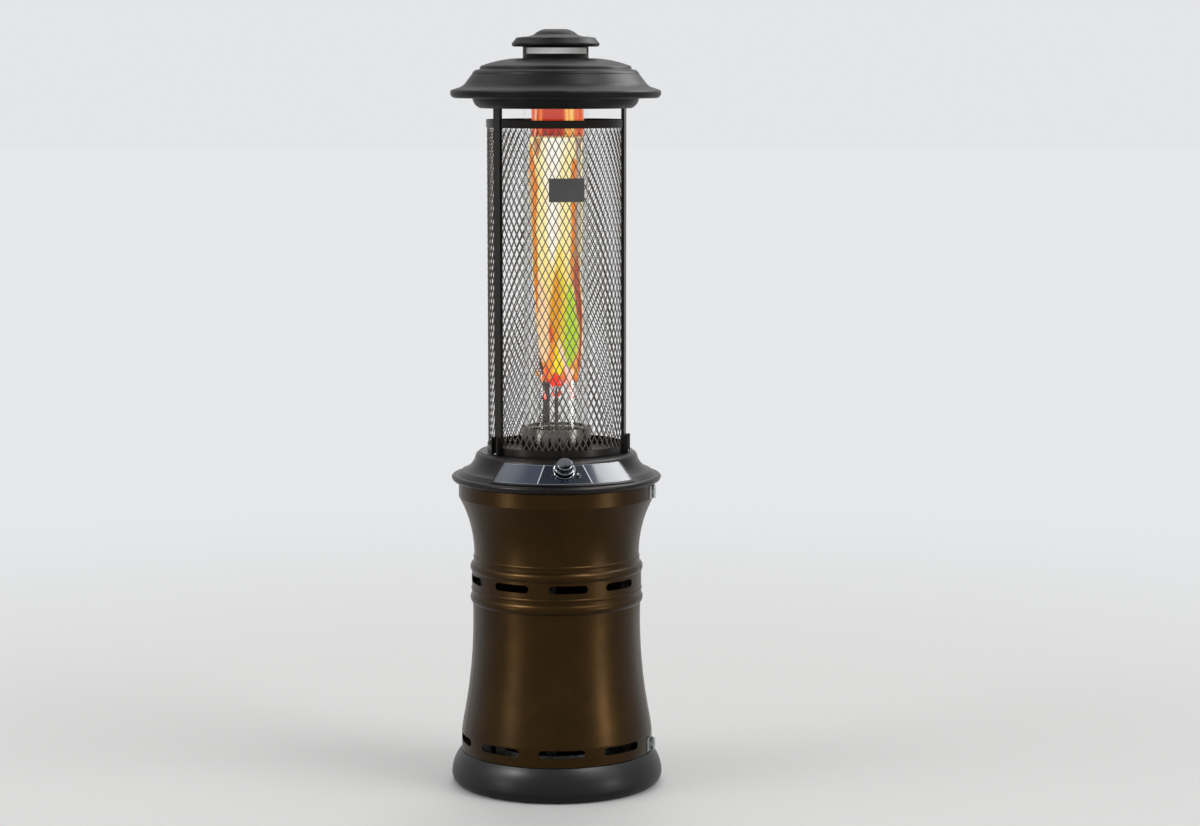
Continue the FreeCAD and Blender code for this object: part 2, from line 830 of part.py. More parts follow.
# One hinge: curved leaves on both sides of the seam, three knuckles and a pin
def make_hinge(which, level, shell_radius):
    outer = shell_radius + cells.hinge_leaf_thick
    top = level + cells.hinge_height
    third = cells.hinge_height / 3
    clear = cells.hinge_barrel_radius + cells.hinge_play * 4
    leaf_start = arc_angle(clear, shell_radius)
    arm_start = cells.hinge_pin_radius + cells.hinge_play * 3
    arm_end = clear + cells.hinge_play * 5
    axis_place = around(hinge_radius, cells.door_right_angle)
    knuckle_rows = {
        "fixed": [(level, third - cells.hinge_play), (top - third + cells.hinge_play,
                                                      third - cells.hinge_play)],
        "door": [(level + third, third)],
    }
    for side, rows in knuckle_rows.items():
        name = "hinge_" + which + "_" + side + "_leaf"
        if side == "fixed":
            begin = cells.door_right_angle + leaf_start
            arm_left, arm_right = arm_start, arm_end
        else:
            begin = cells.door_right_angle - leaf_start - cells.hinge_leaf_angle
            arm_left, arm_right = -arm_end, -arm_start
        leaf = lathe(name + "_plate", rectangle(shell_radius, level, outer, top), begin=begin,
                     sweep=cells.hinge_leaf_angle)
        pieces = [leaf]
        for index, (row_level, row_height) in enumerate(rows):
            arm = pad(name + "_arm" + str(index), [rectangle(arm_left, -hinge_radius, arm_right,
                                                             -shell_radius)],
                      row_height, level=row_level)
            place(arm, yaw=cells.door_right_angle)
            barrel = cylinder(name + "_barrel" + str(index), cells.hinge_barrel_radius, row_height)
            place(barrel, *axis_place, row_level)
            pieces.extend([arm, barrel])
        whole = fused(name + "_whole", pieces)
        bore = cylinder(name + "_bore", cells.hinge_pin_radius + cells.pin_clearance, cells.hinge_height)
        place(bore, *axis_place, level)
        keep(name, without(name, whole, bore))
    foot = 1
    head_radius = cells.hinge_pin_radius + 1.4
    head_edge = cells.hinge_height + 0.6
    head_rise = 0.8
    pin = lathe("hinge_pin_" + which, [
        (0, -foot), (cells.hinge_pin_radius, -foot), (cells.hinge_pin_radius, cells.hinge_height),
        (head_radius, cells.hinge_height), (head_radius, head_edge),
        (0, head_edge + head_rise, dome(head_radius, head_rise))])
    keep("hinge_pin_" + which, place(pin, *axis_place, level))


def make_hinges():
    lower_level = shell_bottom + cells.door_gap_below + cells.hinge_inset
    upper_level = shell_top - cells.top_band_height + 1
    make_hinge("lower", lower_level, cells.band_radius)
    make_hinge("upper", upper_level, cells.top_band_radius)
    screws = []
    leaf_middle = cells.hinge_barrel_radius + 14
    angle = cells.door_right_angle + arc_angle(leaf_middle, cells.band_radius)
    for level, radius in ((lower_level, cells.band_radius), (upper_level, cells.top_band_radius)):
        for share in (0.25, 0.75):
            screw = cylinder("hinge_screw_" + str(len(screws) + 1), cells.hinge_screw_radius,
                             cells.hinge_screw_height)
            place(screw, *around(radius + cells.hinge_leaf_thick, angle), level + cells.hinge_height * share,
                  yaw=angle, roll=QUARTER_TURN)
            screws.append(screw)
    group("hinge_screws", screws)


# Console: pressed ring with a thick rolled rim, and a flat deck on its flange
def make_console():
    rim_foot = cells.rim_radius - cells.rim_foot_inset
    path = [
        (cells.deck_radius - cells.console_flange, flange_level),
        (cells.deck_radius, flange_level),
        (cells.deck_radius + cells.console_shoulder, flange_level - cells.console_shoulder_drop,
         -cells.shoulder_swell),
        (cells.rim_radius - cells.slope_end_inset, cells.deck_level - cells.slope_end_drop,
         cells.slope_hollow),
        (cells.rim_radius - cells.rim_top_inset, cells.deck_level - cells.rim_top_drop),
        (cells.rim_radius, console_bottom + cells.rim_level, -2.4),
        (rim_foot, console_bottom, -3.8),
        (cells.console_seat_radius, console_bottom),
    ]
    ring = lathe("console_ring", skin(path, cells.console_wall, RIGHT))
    near = cells.deck_radius + cells.panel_window_start
    far = cells.rim_radius - cells.panel_window_end
    angle = cells.panel_window_angle
    corners = [around(near, -angle), around(far, -angle), around(far, angle), around(near, angle)]
    # the opening for the valve and the spark unit goes through the slope, not through the seat
    low = console_bottom + cells.panel_window_low
    cut(ring, "XY_Plane", [corners], cells.deck_level - low, lift=low)
    keep("console_ring", ring)
    hole = cells.burner_radius + cells.deck_hole_play
    edge = cells.deck_edge_round
    keep("deck_plate", lathe("deck_plate", [
        (hole, flange_level), (cells.deck_radius, flange_level), (cells.deck_radius, cells.deck_level - edge),
        (cells.deck_radius - edge, cells.deck_level, edge * ROUND), (hole, cells.deck_level)]))


def panel_line(start, finish, lift, thick):
    """Outline of a straight conical sheet on the panel: two distances down it, its lift and thickness."""
    def corner(along, depth):
        along = as_size(along)
        depth = as_size(depth)
        return (cells.panel_top_radius + along * cosine(cells.panel_slope) + depth * sine(cells.panel_slope),
                panel_top_level - along * sine(cells.panel_slope) + depth * cosine(cells.panel_slope))

    top = lift + thick
    return [corner(start, lift), corner(finish, lift), corner(finish, top), corner(start, top)]


# Control fascia: straight conical plate with a cheek at both ends, and three bare labels
def make_fascia():
    half = cells.panel_half_angle
    under = panel_line(cells.panel_start + cells.panel_wall * 1.5, cells.panel_length, -cells.panel_wall, 0)
    face = panel_line(cells.panel_start, cells.panel_length, 0, 0)
    plate = lathe("fascia_plate", [under[0], under[1], face[1], face[0]], begin=-half, sweep=half * 2)
    # the cheeks close the gap between the flat plate and the rounded slope of the ring
    cheek_lift = 0.6
    cheek_middle = (cells.rim_radius - cells.slope_end_inset,
                    cells.deck_level - cells.slope_end_drop + cheek_lift, cells.slope_hollow - 0.5)
    cheeks = []
    for side, begin in (("left", -half), ("right", half - cells.cheek_angle)):
        cheeks.append(lathe("fascia_cheek_" + side, [under[0], cheek_middle, under[1]], begin=begin,
                            sweep=cells.cheek_angle))
    whole = fused("fascia_whole", [plate] + cheeks)
    reach = cells.panel_wall * 6
    knob_hole = cylinder("fascia_knob_hole", cells.valve_neck_radius + cells.fit_gap, reach)
    on_panel(knob_hole, cells.knob_along, depth=-(reach / 2))
    button_hole = cylinder("fascia_button_hole", cells.igniter_radius + cells.fit_gap, reach)
    on_panel(button_hole, cells.button_along, angle=cells.button_angle, depth=-(reach / 2))
    holes = fused("fascia_holes", [knob_hole, button_hole])
    keep("control_fascia", without("control_fascia", whole, holes))

    # Labels: one thin conical sheet, trimmed by a straight-sided outline in plan
    top_radius = cells.panel_top_radius + cells.label_margin * cosine(cells.panel_slope)
    label_end = cells.panel_length - cells.label_margin
    low_radius = cells.panel_top_radius + label_end * cosine(cells.panel_slope)
    overlap = 6
    top_back = -(top_radius - overlap)
    low_back = -(low_radius + overlap)
    gap = cells.label_gap
    inner_cut = top_radius * 0.9
    far = low_radius * 1.4
    edge = cells.side_label_angle
    centre = [(-cells.centre_label_top, top_back), (-cells.centre_label_bottom, low_back),
              (cells.centre_label_bottom, low_back), (cells.centre_label_top, top_back)]
    right = [(cells.centre_label_top + gap, top_back), (cells.centre_label_bottom + gap, low_back),
             around(far, edge / 2), around(far, edge), around(inner_cut, edge)]
    left = [(-as_size(across), back) for across, back in reversed(right)]
    for side, plan in (("centre", centre), ("right", right), ("left", left)):
        film = lathe("label_sheet_" + side,
                     panel_line(cells.label_margin, label_end, cells.label_lift, cells.label_thick),
                     begin=-half, sweep=half * 2)
        trim = pad("label_plan_" + side, [plan], cells.deck_level - console_bottom, level=console_bottom)
        label = document.addObject("Part::Common", "label_" + side)
        label.Base = film
        label.Tool = trim
        if side == "centre":
            label = without("label_pierced_" + side, label, holes)
        keep("label_" + side, label)


# Knob that is pushed in and turned: knob, stem, push sleeve, valve and bezel
def make_knob():
    base = cells.knob_standoff
    top = base + cells.knob_height
    shoulder = cells.knob_radius - cells.knob_shoulder
    bore = cells.stem_radius + cells.pin_clearance
    bore_top = base + cells.knob_height * 0.6
    hem = 0.6
    skirt = 4
    skirt_slope = 2.5
    top_round = 2.4
    face_sink = 0.8
    knob = lathe("control_knob", [
        (bore, base), (cells.knob_radius - hem, base), (cells.knob_radius, base + hem, hem * ROUND),
        (cells.knob_radius, base + skirt), (shoulder + 2, base + skirt + skirt_slope, -1.0),
        (shoulder, top - top_round), (shoulder - top_round, top, top_round * ROUND),
        (0, top - face_sink, dome(shoulder - top_round, -face_sink)), (0, bore_top), (bore, bore_top)])
    flute = cut(knob, "XY_Plane",
                [circle_outline(cells.knob_flute_radius, up=-(shoulder + cells.knob_flute_radius - 0.2))],
                cells.knob_height, lift=base + skirt + skirt_slope)
    ring_of(knob, flute, cells.knob_flute_count)
    mark_half = 1.2
    mark_start = 4
    add_pad(knob, [rectangle(-mark_half, mark_start, mark_half, shoulder - mark_start)], 1.2,
            level=top - face_sink - 0.1)
    keep("control_knob", on_panel(knob, cells.knob_along))

    stem_bottom = -(cells.valve_depth + 8) * 0.75
    stem = lathe("valve_stem", rectangle(0, stem_bottom, cells.stem_radius, bore_top - 0.2))
    keep("valve_stem", on_panel(stem, cells.knob_along))
    sleeve = lathe("valve_push_sleeve", rectangle(cells.stem_radius + cells.pin_clearance,
                                                  -cells.sleeve_depth, cells.sleeve_radius,
                                                  cells.sleeve_rise))
    keep("valve_push_sleeve", on_panel(sleeve, cells.knob_along))

    # Valve: round neck, a body with room for the pushed sleeve and stem, and an inlet that points down
    neck_low = -(cells.valve_depth * 0.625)
    half = cells.valve_width / 2
    square = rectangle(-half, -half, half, half)
    neck_bore = cells.sleeve_radius + cells.pin_clearance
    end_play = 2
    sleeve_room = -(cells.sleeve_depth + cells.knob_travel + end_play)
    stem_room = stem_bottom - cells.knob_travel - end_play
    valve_bottom = neck_low - cells.valve_depth
    block = lathe("valve_block", rectangle(neck_bore, neck_low, cells.valve_neck_radius, 0))
    add_pad(block, [square, circle_outline(neck_bore)], sleeve_room - neck_low, level=neck_low)
    add_pad(block, [square, circle_outline(cells.stem_radius + cells.fit_gap / 2)], neck_low - stem_room,
            level=stem_room)
    add_pad(block, [square], stem_room - valve_bottom, level=valve_bottom)
    on_panel(block, cells.knob_along)
    inlet_place = around(cells.inlet_place_radius, cells.inlet_turn)
    inlet = cylinder("valve_inlet", cells.inlet_radius, cells.inlet_root)
    place(inlet, *inlet_place, cells.inlet_level)
    collar = cylinder("valve_inlet_collar", cells.inlet_collar_radius,
                      cells.inlet_root - cells.inlet_length - cells.inlet_collar_height)
    place(collar, *inlet_place, cells.inlet_level + cells.inlet_length)
    keep("gas_valve", fused("gas_valve", [block, inlet, collar]))

    inner = cells.knob_radius + cells.bezel_play
    outer = inner + cells.bezel_wall
    hole = cells.sleeve_radius + 1.2
    bezel = lathe("knob_bezel", [
        (hole, 0), (outer, 0), (outer, cells.bezel_height - hem),
        (outer - hem, cells.bezel_height, hem * ROUND),
        (inner, cells.bezel_height), (inner, cells.bezel_floor), (hole, cells.bezel_floor)])
    keep("knob_bezel", on_panel(bezel, cells.knob_along, depth=label_face))
    return valve_bottom


# Igniter: spark unit behind the panel with a push button
def make_igniter():
    bore = cells.button_radius + cells.pin_clearance
    bottom = -cells.igniter_length
    bore_bottom = -(cells.button_depth + cells.button_travel + 1)
    flange = cells.igniter_radius + cells.igniter_flange
    rise = cells.igniter_rise
    edge = 0.6
    housing = lathe("igniter_housing", [
        (0, bottom), (cells.igniter_radius, bottom), (cells.igniter_radius, label_face),
        (flange, label_face), (flange, rise - edge), (flange - edge, rise, edge * ROUND), (bore, rise),
        (bore, bore_bottom), (0, bore_bottom)])
    keep("igniter_housing", on_panel(housing, cells.button_along, angle=cells.button_angle))
    top = cells.button_rise + rise
    top_round = 1
    sink = 0.4
    button = lathe("igniter_button", [
        (0, -cells.button_depth), (cells.button_radius, -cells.button_depth),
        (cells.button_radius, top - top_round), (cells.button_radius - top_round, top, top_round * ROUND),
        (0, top - sink, dome(cells.button_radius - top_round, -sink))])
    keep("igniter_button", on_panel(button, cells.button_along, angle=cells.button_angle))
    return bottom


# Burner on the deck under the glass, with its pilot parts
def make_burner():
    wall = cells.burner_wall
    outer = cells.burner_radius
    bottom = cells.deck_level - cells.burner_drop
    lid = cells.deck_level + wall * 2
    pipe_hole = cells.gas_pipe_radius + cells.fit_gap
    electrode_place = around(cells.pilot_radius, cells.pilot_angle + cells.pilot_spread)
    tip_place = around(cells.pilot_radius, cells.pilot_angle - cells.pilot_spread)
    line_hole = cells.lead_radius + cells.line_play

    flange = outer + cells.burner_flange
    cup = lathe("burner_base", [
        (pipe_hole, bottom), (outer, bottom), (outer, cells.deck_level), (flange, cells.deck_level),
        (flange, cells.deck_level + wall), (outer - wall, cells.deck_level + wall),
        (outer - wall, bottom + wall), (pipe_hole, bottom + wall)])
    line_holes = [circle_outline(line_hole, *electrode_place), circle_outline(line_hole, *tip_place)]
    cut(cup, "XY_Plane", line_holes, wall * 4, lift=bottom - wall)
    keep("burner_base", cup)

    # Head: slotted can with a rod standing on its middle
    head_top = lid + cells.head_height
    rod_top = lid + cells.rod_height
    edge = 5
    crown = 3
    lap = 6
    rod_taper = 30
    inner_edge = edge + wall / 2
    head = lathe("burner_head", [
        (cells.head_radius - wall, cells.deck_level + wall), (outer + lap, cells.deck_level + wall),
        (outer + lap, lid), (cells.head_radius, lid), (cells.head_radius, head_top - edge),
        (cells.head_radius - edge, head_top, edge * ROUND), (cells.rod_radius, head_top + crown),
        (cells.rod_radius, rod_top - rod_taper), (cells.rod_radius - 2.5, rod_top), (0, rod_top),
        (0, head_top + crown - wall), (cells.head_radius - inner_edge, head_top - wall),
        (cells.head_radius - wall, head_top - inner_edge, -1.2)])
    slot_half = 1.6
    slot = rectangle(-slot_half, lid + 7, slot_half, head_top - 9)
    ring_of(head, cut_wall(head, slot, cells.head_radius), cells.head_slot_count)
    cut(head, "XY_Plane", [circle_outline(cells.electrode_radius + cells.fit_gap, *electrode_place),
                           circle_outline(line_hole, *tip_place)], wall * 3, lift=cells.deck_level)
    keep("burner_head", head)

    # Pilot group beside the head, a little to the right of the front
    half = cells.pilot_width / 2
    far = cells.pilot_radius + 6
    near = cells.pilot_radius - 7
    thin = 1.2
    hood_height = cells.head_height + 16
    window_half = 6
    window_low = lid + 14
    window_high = lid + cells.head_height + 6
    hood = pad("pilot_hood", [rectangle(-half, -far, half, -near),
                              rectangle(thin - half, thin - far, half - thin, -(near + thin))],
               hood_height, level=lid)
    add_pad(hood, [rectangle(-half, -far, half, -near)], thin, level=lid + hood_height)
    cut(hood, "XZ_Plane", [rectangle(-window_half, window_low, window_half, window_high)],
        cells.burner_radius * 2)
    keep("pilot_hood", place(hood, yaw=cells.pilot_angle))

    # Electrode: ceramic body through the lid, thin tip above it
    foot = -14
    body_top = 20
    tip_start = 21
    tip_end = 44
    tip_radius = 0.9
    electrode = lathe("igniter_electrode", [
        (0, foot), (cells.electrode_radius, foot), (cells.electrode_radius, body_top),
        (tip_radius, tip_start), (tip_radius, tip_end), (0, tip_end)])
    keep("igniter_electrode", place(electrode, *electrode_place, lid))
    return electrode_place, tip_place, lid, bottom


def make_lines(valve_bottom, igniter_bottom, burner):
    electrode_place, tip_place, lid, burner_bottom = burner
    valve_side = panel_point(cells.knob_along, 0, valve_bottom)
    elbow = panel_point(cells.knob_along, 0, valve_bottom - 22)
    route = [(-5, valve_side[1], valve_side[2]), (-5, elbow[1], elbow[2]), (0, 0, elbow[2] - 6),
             (0, 0, burner_bottom + 12)]
    route_tube("gas_pipe", route, cells.gas_pipe_radius, bore=cells.gas_pipe_radius - 1)

    # Ignition lead: from the spark unit's tail back under the deck and up to the electrode
    tail = panel_point(cells.button_along, cells.button_angle, igniter_bottom)
    tail_out = panel_point(cells.button_along, cells.button_angle, igniter_bottom - 16)
    across, back = electrode_place
    route = [
        tail, tail_out,
        (across + 8, back - 62, burner_bottom - 22),
        (across + 2, back - 20, burner_bottom - 18),
        (across, back, burner_bottom - 13),
        (across, back, lid - 14),
    ]
    route_tube("ignition_lead", route, cells.lead_radius)

    # Thermocouple: tip in the pilot hood, line down through the burner and on to the valve
    across, back = tip_place
    valve_out = panel_point(cells.knob_along, 0, valve_bottom - 14)
    route = [
        (across, back, lid + cells.head_height - 4),
        (across, back, burner_bottom - 6),
        (across - 2, back - 14, burner_bottom - 14),
        (across - 4, back - 62, burner_bottom - 16),
        (-12, valve_out[1] + 34, burner_bottom - 18),
        (-12, valve_out[1], valve_out[2]),
        (-12, valve_side[1], valve_side[2]),
    ]
    route_tube("thermocouple", route, cells.lead_radius)


# Tilt switch that shuts the gas when the heater leans, under the deck
def make_tilt_switch():
    half = 16
    height = 30
    box = pad("tilt_switch", [rectangle(-half, -150, half, -126)], height, level=flange_level - height)
    keep("tilt_switch", place(box, yaw=cells.tilt_switch_turn))


# Glass column: slotted seat, gaskets, tube and the collar under the hood
def make_glass():
    seat_inner = cells.seat_radius - cells.seat_wall
    seat_top = cells.deck_level + cells.seat_height
    glass_inner = cells.glass_radius - cells.glass_wall
    ledge_inner = glass_inner - 3
    seat = lathe("glass_seat", [
        (seat_inner, cells.deck_level), (cells.seat_radius, cells.deck_level), (cells.seat_radius, seat_top),
        (seat_inner, seat_top), (seat_inner, seat_ledge), (ledge_inner, seat_ledge),
        (ledge_inner, seat_ledge - cells.seat_wall), (seat_inner, seat_ledge - cells.seat_wall)])
    slot_half = 3
    slot = rectangle(-slot_half, cells.deck_level + 8, slot_half, seat_ledge - 10)
    ring_of(seat, cut_wall(seat, slot, cells.seat_radius), cells.seat_slot_count)
    keep("glass_seat", seat)
    keep("gasket_lower", lathe("gasket_lower", rectangle(
        glass_inner - 1.5, seat_ledge, seat_inner - cells.fit_gap, glass_bottom)))
    edge = 0.8
    keep("glass_tube", lathe("glass_tube", [
        (glass_inner, glass_bottom), (cells.glass_radius - edge, glass_bottom),
        (cells.glass_radius, glass_bottom + edge, edge * ROUND), (cells.glass_radius, glass_top - edge),
        (cells.glass_radius - edge, glass_top, edge * ROUND), (glass_inner, glass_top)]))
    # The collar stands on the pan round its hole, and a woven gasket centres the glass in it
    collar_inner = cells.pan_hole_radius + 2
    collar_outer = collar_inner + cells.collar_wall
    flange = collar_inner + 18
    floor = pan_bottom + cells.pan_wall
    keep("glass_collar", lathe("glass_collar", [
        (collar_inner, floor), (flange, floor), (flange, floor + cells.collar_wall),
        (collar_outer, floor + cells.collar_wall), (collar_outer, floor + cells.collar_height),
        (collar_inner, floor + cells.collar_height)]))
    play = 0.1
    keep("gasket_upper", lathe("gasket_upper", rectangle(
        cells.glass_radius + play, floor + 6, collar_inner - play, floor + 16)))


def mesh_panel(name, begin, finish, low, high):
    """Part of the guard's mesh between two angles, with diamond openings in offset rows."""
    inner = cells.mesh_radius - cells.mesh_wall
    height = (high - low).number
    floor = FreeCAD.Vector(0, 0, low.number)
    sheet_shape = Part.makeCylinder(cells.mesh_radius.number, height, floor)
    sheet_shape = sheet_shape.cut(Part.makeCylinder(inner.number, height, floor))
    reach = cells.mesh_radius.number * 3
    sweep = finish.number - begin.number
    corners = [floor]
    corner_count = 4
    for index in range(corner_count):
        angle = math.radians(begin.number + sweep * index / (corner_count - 1))
        corners.append(FreeCAD.Vector(reach * math.sin(angle), -reach * math.cos(angle), low.number))
    corners.append(corners[0])
    sector = Part.Face(Part.makePolygon(corners)).extrude(FreeCAD.Vector(0, 0, height))
    sheet_shape = sheet_shape.common(sector)
    border = cells.mesh_strand.number
    step = math.degrees(cells.mesh_cell_width.number / cells.mesh_radius.number)
    row_step = cells.mesh_cell_height.number / 2
    half_width = (cells.mesh_cell_width.number - border) / 2
    half_height = cells.mesh_cell_height.number / 2 - border
    rows = int((height - 2 * border - 2 * half_height) / row_step) + 1
    first_level = (high + low).number / 2 - (rows - 1) * row_step / 2
    columns = int((sweep - math.degrees(2 * border / inner.number)) / step)
    middle = (begin.number + finish.number) / 2
    start = 12 - inner.number
    openings = []
    for row in range(rows):
        count = columns - row % 2
        level = first_level + row * row_step
        for column in range(count):
            corners = [(-half_width, level), (0, level - half_height), (half_width, level),
                       (0, level + half_height), (-half_width, level)]
            diamond = Part.makePolygon([FreeCAD.Vector(across, start, up) for across, up in corners])
            prism = Part.Face(diamond).extrude(FreeCAD.Vector(0, -20, 0))
            angle = middle + (column - (count - 1) / 2) * step
            prism.rotate(FreeCAD.Vector(0, 0, 0), FreeCAD.Vector(0, 0, 1), angle)
            openings.append(prism)
    item = document.addObject("Part::Feature", name)
    item.Shape = sheet_shape.cut(Part.makeCompound(openings)).Solids[0]
    place(item, yaw=cells.guard_turn)
    return keep(name, item)


# Guard round the glass: posts, their feet, two rings, mesh and the bare plate
def make_guard():
    half = cells.guard_post_width / 2
    near = cells.guard_post_inner
    far = near + cells.guard_post_depth
    toe = far + cells.foot_depth
    wall = cells.guard_post_wall
    back = cells.foot_thick
    head = cells.screw_head_radius
    head_rise = cells.screw_head_height / 2
    ring_inner = cells.mesh_radius + cells.fit_gap
    lower = cells.deck_level
    upper = pan_bottom - cells.guard_gap_above - cells.guard_ring_height
    slots = []
    for name, level in (("guard_ring_lower", lower), ("guard_ring_upper", upper)):
        top = level + cells.guard_ring_height
        keep(name, lathe(name, rectangle(ring_inner, level, guard_ring_radius, top)))
        slots.append(lathe(name + "_slot", rectangle(
            ring_inner - cells.fit_gap, level - cells.fit_gap, guard_ring_radius + cells.fit_gap,
            top + cells.fit_gap)))
    slots = fused("guard_ring_slots", slots)
    angles = {"left": -cells.guard_post_angle, "right": cells.guard_post_angle, "rear": as_size(180)}
    feet = []
    screws = []
    for side, angle in angles.items():
        turn = angle + cells.guard_turn
        name = "guard_post_" + side
        outlines = [rectangle(-half, -far, half, -near),
                    rectangle(wall - half, wall - far, half - wall, -(near + wall))]
        post = pad(name + "_tube", outlines, cells.guard_height, level=cells.deck_level)
        keep(name, without(name, place(post, yaw=turn), slots))
        # Foot: upright plate and sole with two sides, screwed to the deck
        foot = pad("post_foot_" + side, [rectangle(-half, -toe, half, -far)], cells.foot_height,
                   level=cells.deck_level)
        cut(foot, "XY_Plane", [rectangle(back - half, -(toe + 1), half - back, -(far + back))],
            cells.foot_height, lift=cells.deck_level + back)
        feet.append(place(foot, yaw=turn))
        screw = lathe("foot_screw_" + side, [(0, 0), (head, 0), (head, head_rise),
                                             (0, head_rise * 2, dome(head, head_rise))])
        place(screw, *around(far + back + (cells.foot_depth - back) / 2, turn), cells.deck_level + back)
        screws.append(screw)
    group("post_feet", feet)
    group("foot_screws", screws)
    inset = 3
    low = lower + inset
    high = upper + cells.guard_ring_height - inset
    # each panel ends beside the posts
    seam = arc_angle(half + cells.fit_gap * 2, cells.mesh_radius)
    post_angle = cells.guard_post_angle
    mesh_panel("guard_mesh_front", seam - post_angle, post_angle - seam, low, high)
    mesh_panel("guard_mesh_right", post_angle + seam, as_size(180) - seam, low, high)
    mesh_panel("guard_mesh_left", seam - 180, -post_angle - seam, low, high)
    plate_inner = cells.mesh_radius + 0.2
    half_angle = arc_angle(cells.sign_width / 2, plate_inner)
    level = cells.deck_level + cells.sign_level
    sign = lathe("bare_plate", rectangle(plate_inner, level, plate_inner + cells.sign_thick,
                                         level + cells.sign_height),
                 begin=cells.sign_turn - half_angle, sweep=half_angle * 2)
    keep("bare_plate", sign)


# Hood: pan on the posts, stepped dome, neck with the perforated strip, cap
def make_hood():
    pan_path = [
        (cells.pan_hole_radius, pan_bottom),
        (cells.pan_floor_radius, pan_bottom),
        (cells.pan_top_radius, pan_top, 5.0),
        (cells.pan_rim_radius, pan_top),
    ]
    keep("hood_pan", lathe("hood_pan", skin(pan_path, cells.pan_wall, LEFT)))
    make_dome()
    make_neck()
    make_cap()


def make_dome():
    """Hood: flat crown, a small step, an ogee down to the brim and a rolled brim with a hem."""
    edge = cells.hood_radius
    low = hood_bottom
    top = neck_bottom
    crown = edge - 75
    brim_foot = edge - 10.5
    keep("hood", lathe("hood", skin([
        (cells.neck_radius - 4, top),
        (cells.neck_radius + 30, top - 1.2),
        (crown - 8, top - 17.7, -2.2),
        (crown, top - 26, -2.2),
        (crown + 4, top - 28.4, 0.8),
        (crown + 10, top - 29.6),
        (crown + 19.5, top - 40, -1.7),
        (crown + 33.5, top - 58.1),
        (edge - 18, low + 25.5, 3.0),
        (edge - 6, low + 21.5),
        (edge, low + 14, -2.0),
        (brim_foot, low, -3.6),
        (brim_foot - cells.hood_hem, low),
    ], cells.hood_wall, RIGHT)))


def make_neck():
    """Chimney neck with wide windows, and the slotted strip inside it."""
    inner = cells.neck_radius - cells.neck_wall
    half_angle = FULL_TURN / 2 / cells.neck_window_count * cells.neck_window_share
    half = cells.neck_radius * sine(half_angle)
    start = inner * cosine(half_angle) * 0.9
    low = neck_bottom + cells.neck_collar
    high = cap_bottom - cells.neck_band
    neck = lathe("chimney_neck", rectangle(inner, neck_bottom, cells.neck_radius, cap_bottom))
    window = cut(neck, "XZ_Plane", [rectangle(-half, low, half, high)], cells.neck_radius, lift=start)
    ring_of(neck, window, cells.neck_window_count)
    keep("chimney_neck", neck)
    strip_outer = inner - 0.1
    margin = 1.5
    slot_half = 2.6
    strip = lathe("vent_strip", rectangle(strip_outer - cells.strip_wall, neck_bottom, strip_outer,
                                          cap_bottom))
    slot = rectangle(-slot_half, low + margin, slot_half, high - margin)
    ring_of(strip, cut_wall(strip, slot, cells.neck_radius), cells.strip_slot_count)
    keep("vent_strip", strip)


def make_cap():
    """Cap over the neck: flat top, a step, a gentle slope and a rounded edge turned in below."""
    peak = cap_bottom + cells.cap_height
    edge = cells.cap_radius
    keep("top_cap", lathe("top_cap", skin([
        (0, peak),
        (28, peak),
        (53, peak - 11.5, -1.8),
        (60, peak - 15.5, 0.5),
        (82, peak - 19, 1.0),
        (edge - 16, cap_bottom + cells.cap_edge + 1),
        (edge - 9, cap_bottom + cells.cap_edge - 3.5, -1.6),
        (edge - 1, cap_bottom + 9),
        (edge - 6, cap_bottom, -3.0),
        (cells.cap_hole_radius, cap_bottom),
    ], cells.cap_wall, RIGHT)))


make_base()
make_bottle_hoop()
make_frame_posts()
make_shells()
make_hinges()
make_console()
make_fascia()
valve_low = make_knob()
igniter_low = make_igniter()
burner_places = make_burner()
make_lines(valve_low, igniter_low, burner_places)
make_tilt_switch()
make_glass()
make_guard()
make_hood()
document.recompute()

# Every object has to be sound before a file is written
faults = []
for item in document.Objects:
    if "Invalid" in item.State or "Error" in item.State:
        faults.append(item.Name + ": " + ", ".join(item.State))
for name, item in nodes.items():
    if item.Shape.isNull() or not item.Shape.isValid() or not item.Shape.Solids:
        faults.append(name + ": the shape is empty or not valid")
if faults:
    raise RuntimeError("; ".join(faults))

os.makedirs("parts", exist_ok=True)
for name, item in nodes.items():
    item.Shape.exportStep("parts/" + name + ".step")
print(len(nodes), "nodes written")
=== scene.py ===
"""Looks of a free-standing gas patio heater with a glass flame column.

Everything is in metres in the part's own frame: +Z up, -Y towards the control panel, origin at the
middle of the base on the floor. Angles round the heater are degrees from the front, growing towards +X.
"""
import logging
import math
from collections.abc import Iterable, Sequence
from dataclasses import dataclass, field
from enum import Enum
from typing import Any

import bpy
from mathutils import Matrix, Vector, noise


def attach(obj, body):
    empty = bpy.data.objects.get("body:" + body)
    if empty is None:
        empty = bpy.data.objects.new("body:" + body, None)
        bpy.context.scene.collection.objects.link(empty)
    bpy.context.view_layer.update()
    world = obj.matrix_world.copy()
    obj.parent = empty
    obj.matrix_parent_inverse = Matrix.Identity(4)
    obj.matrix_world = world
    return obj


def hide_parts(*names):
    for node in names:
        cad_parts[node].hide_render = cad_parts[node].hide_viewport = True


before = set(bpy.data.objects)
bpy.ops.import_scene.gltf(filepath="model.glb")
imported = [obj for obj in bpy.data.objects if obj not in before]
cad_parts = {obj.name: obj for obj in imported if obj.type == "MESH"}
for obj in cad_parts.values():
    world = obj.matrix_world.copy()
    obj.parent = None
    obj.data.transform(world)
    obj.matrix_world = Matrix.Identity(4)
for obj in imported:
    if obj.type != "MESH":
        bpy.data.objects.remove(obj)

log = logging.getLogger("patio_heater")

# name of the mesh attribute that holds the flame's colours
FLAME_TINT = "flame_tint"

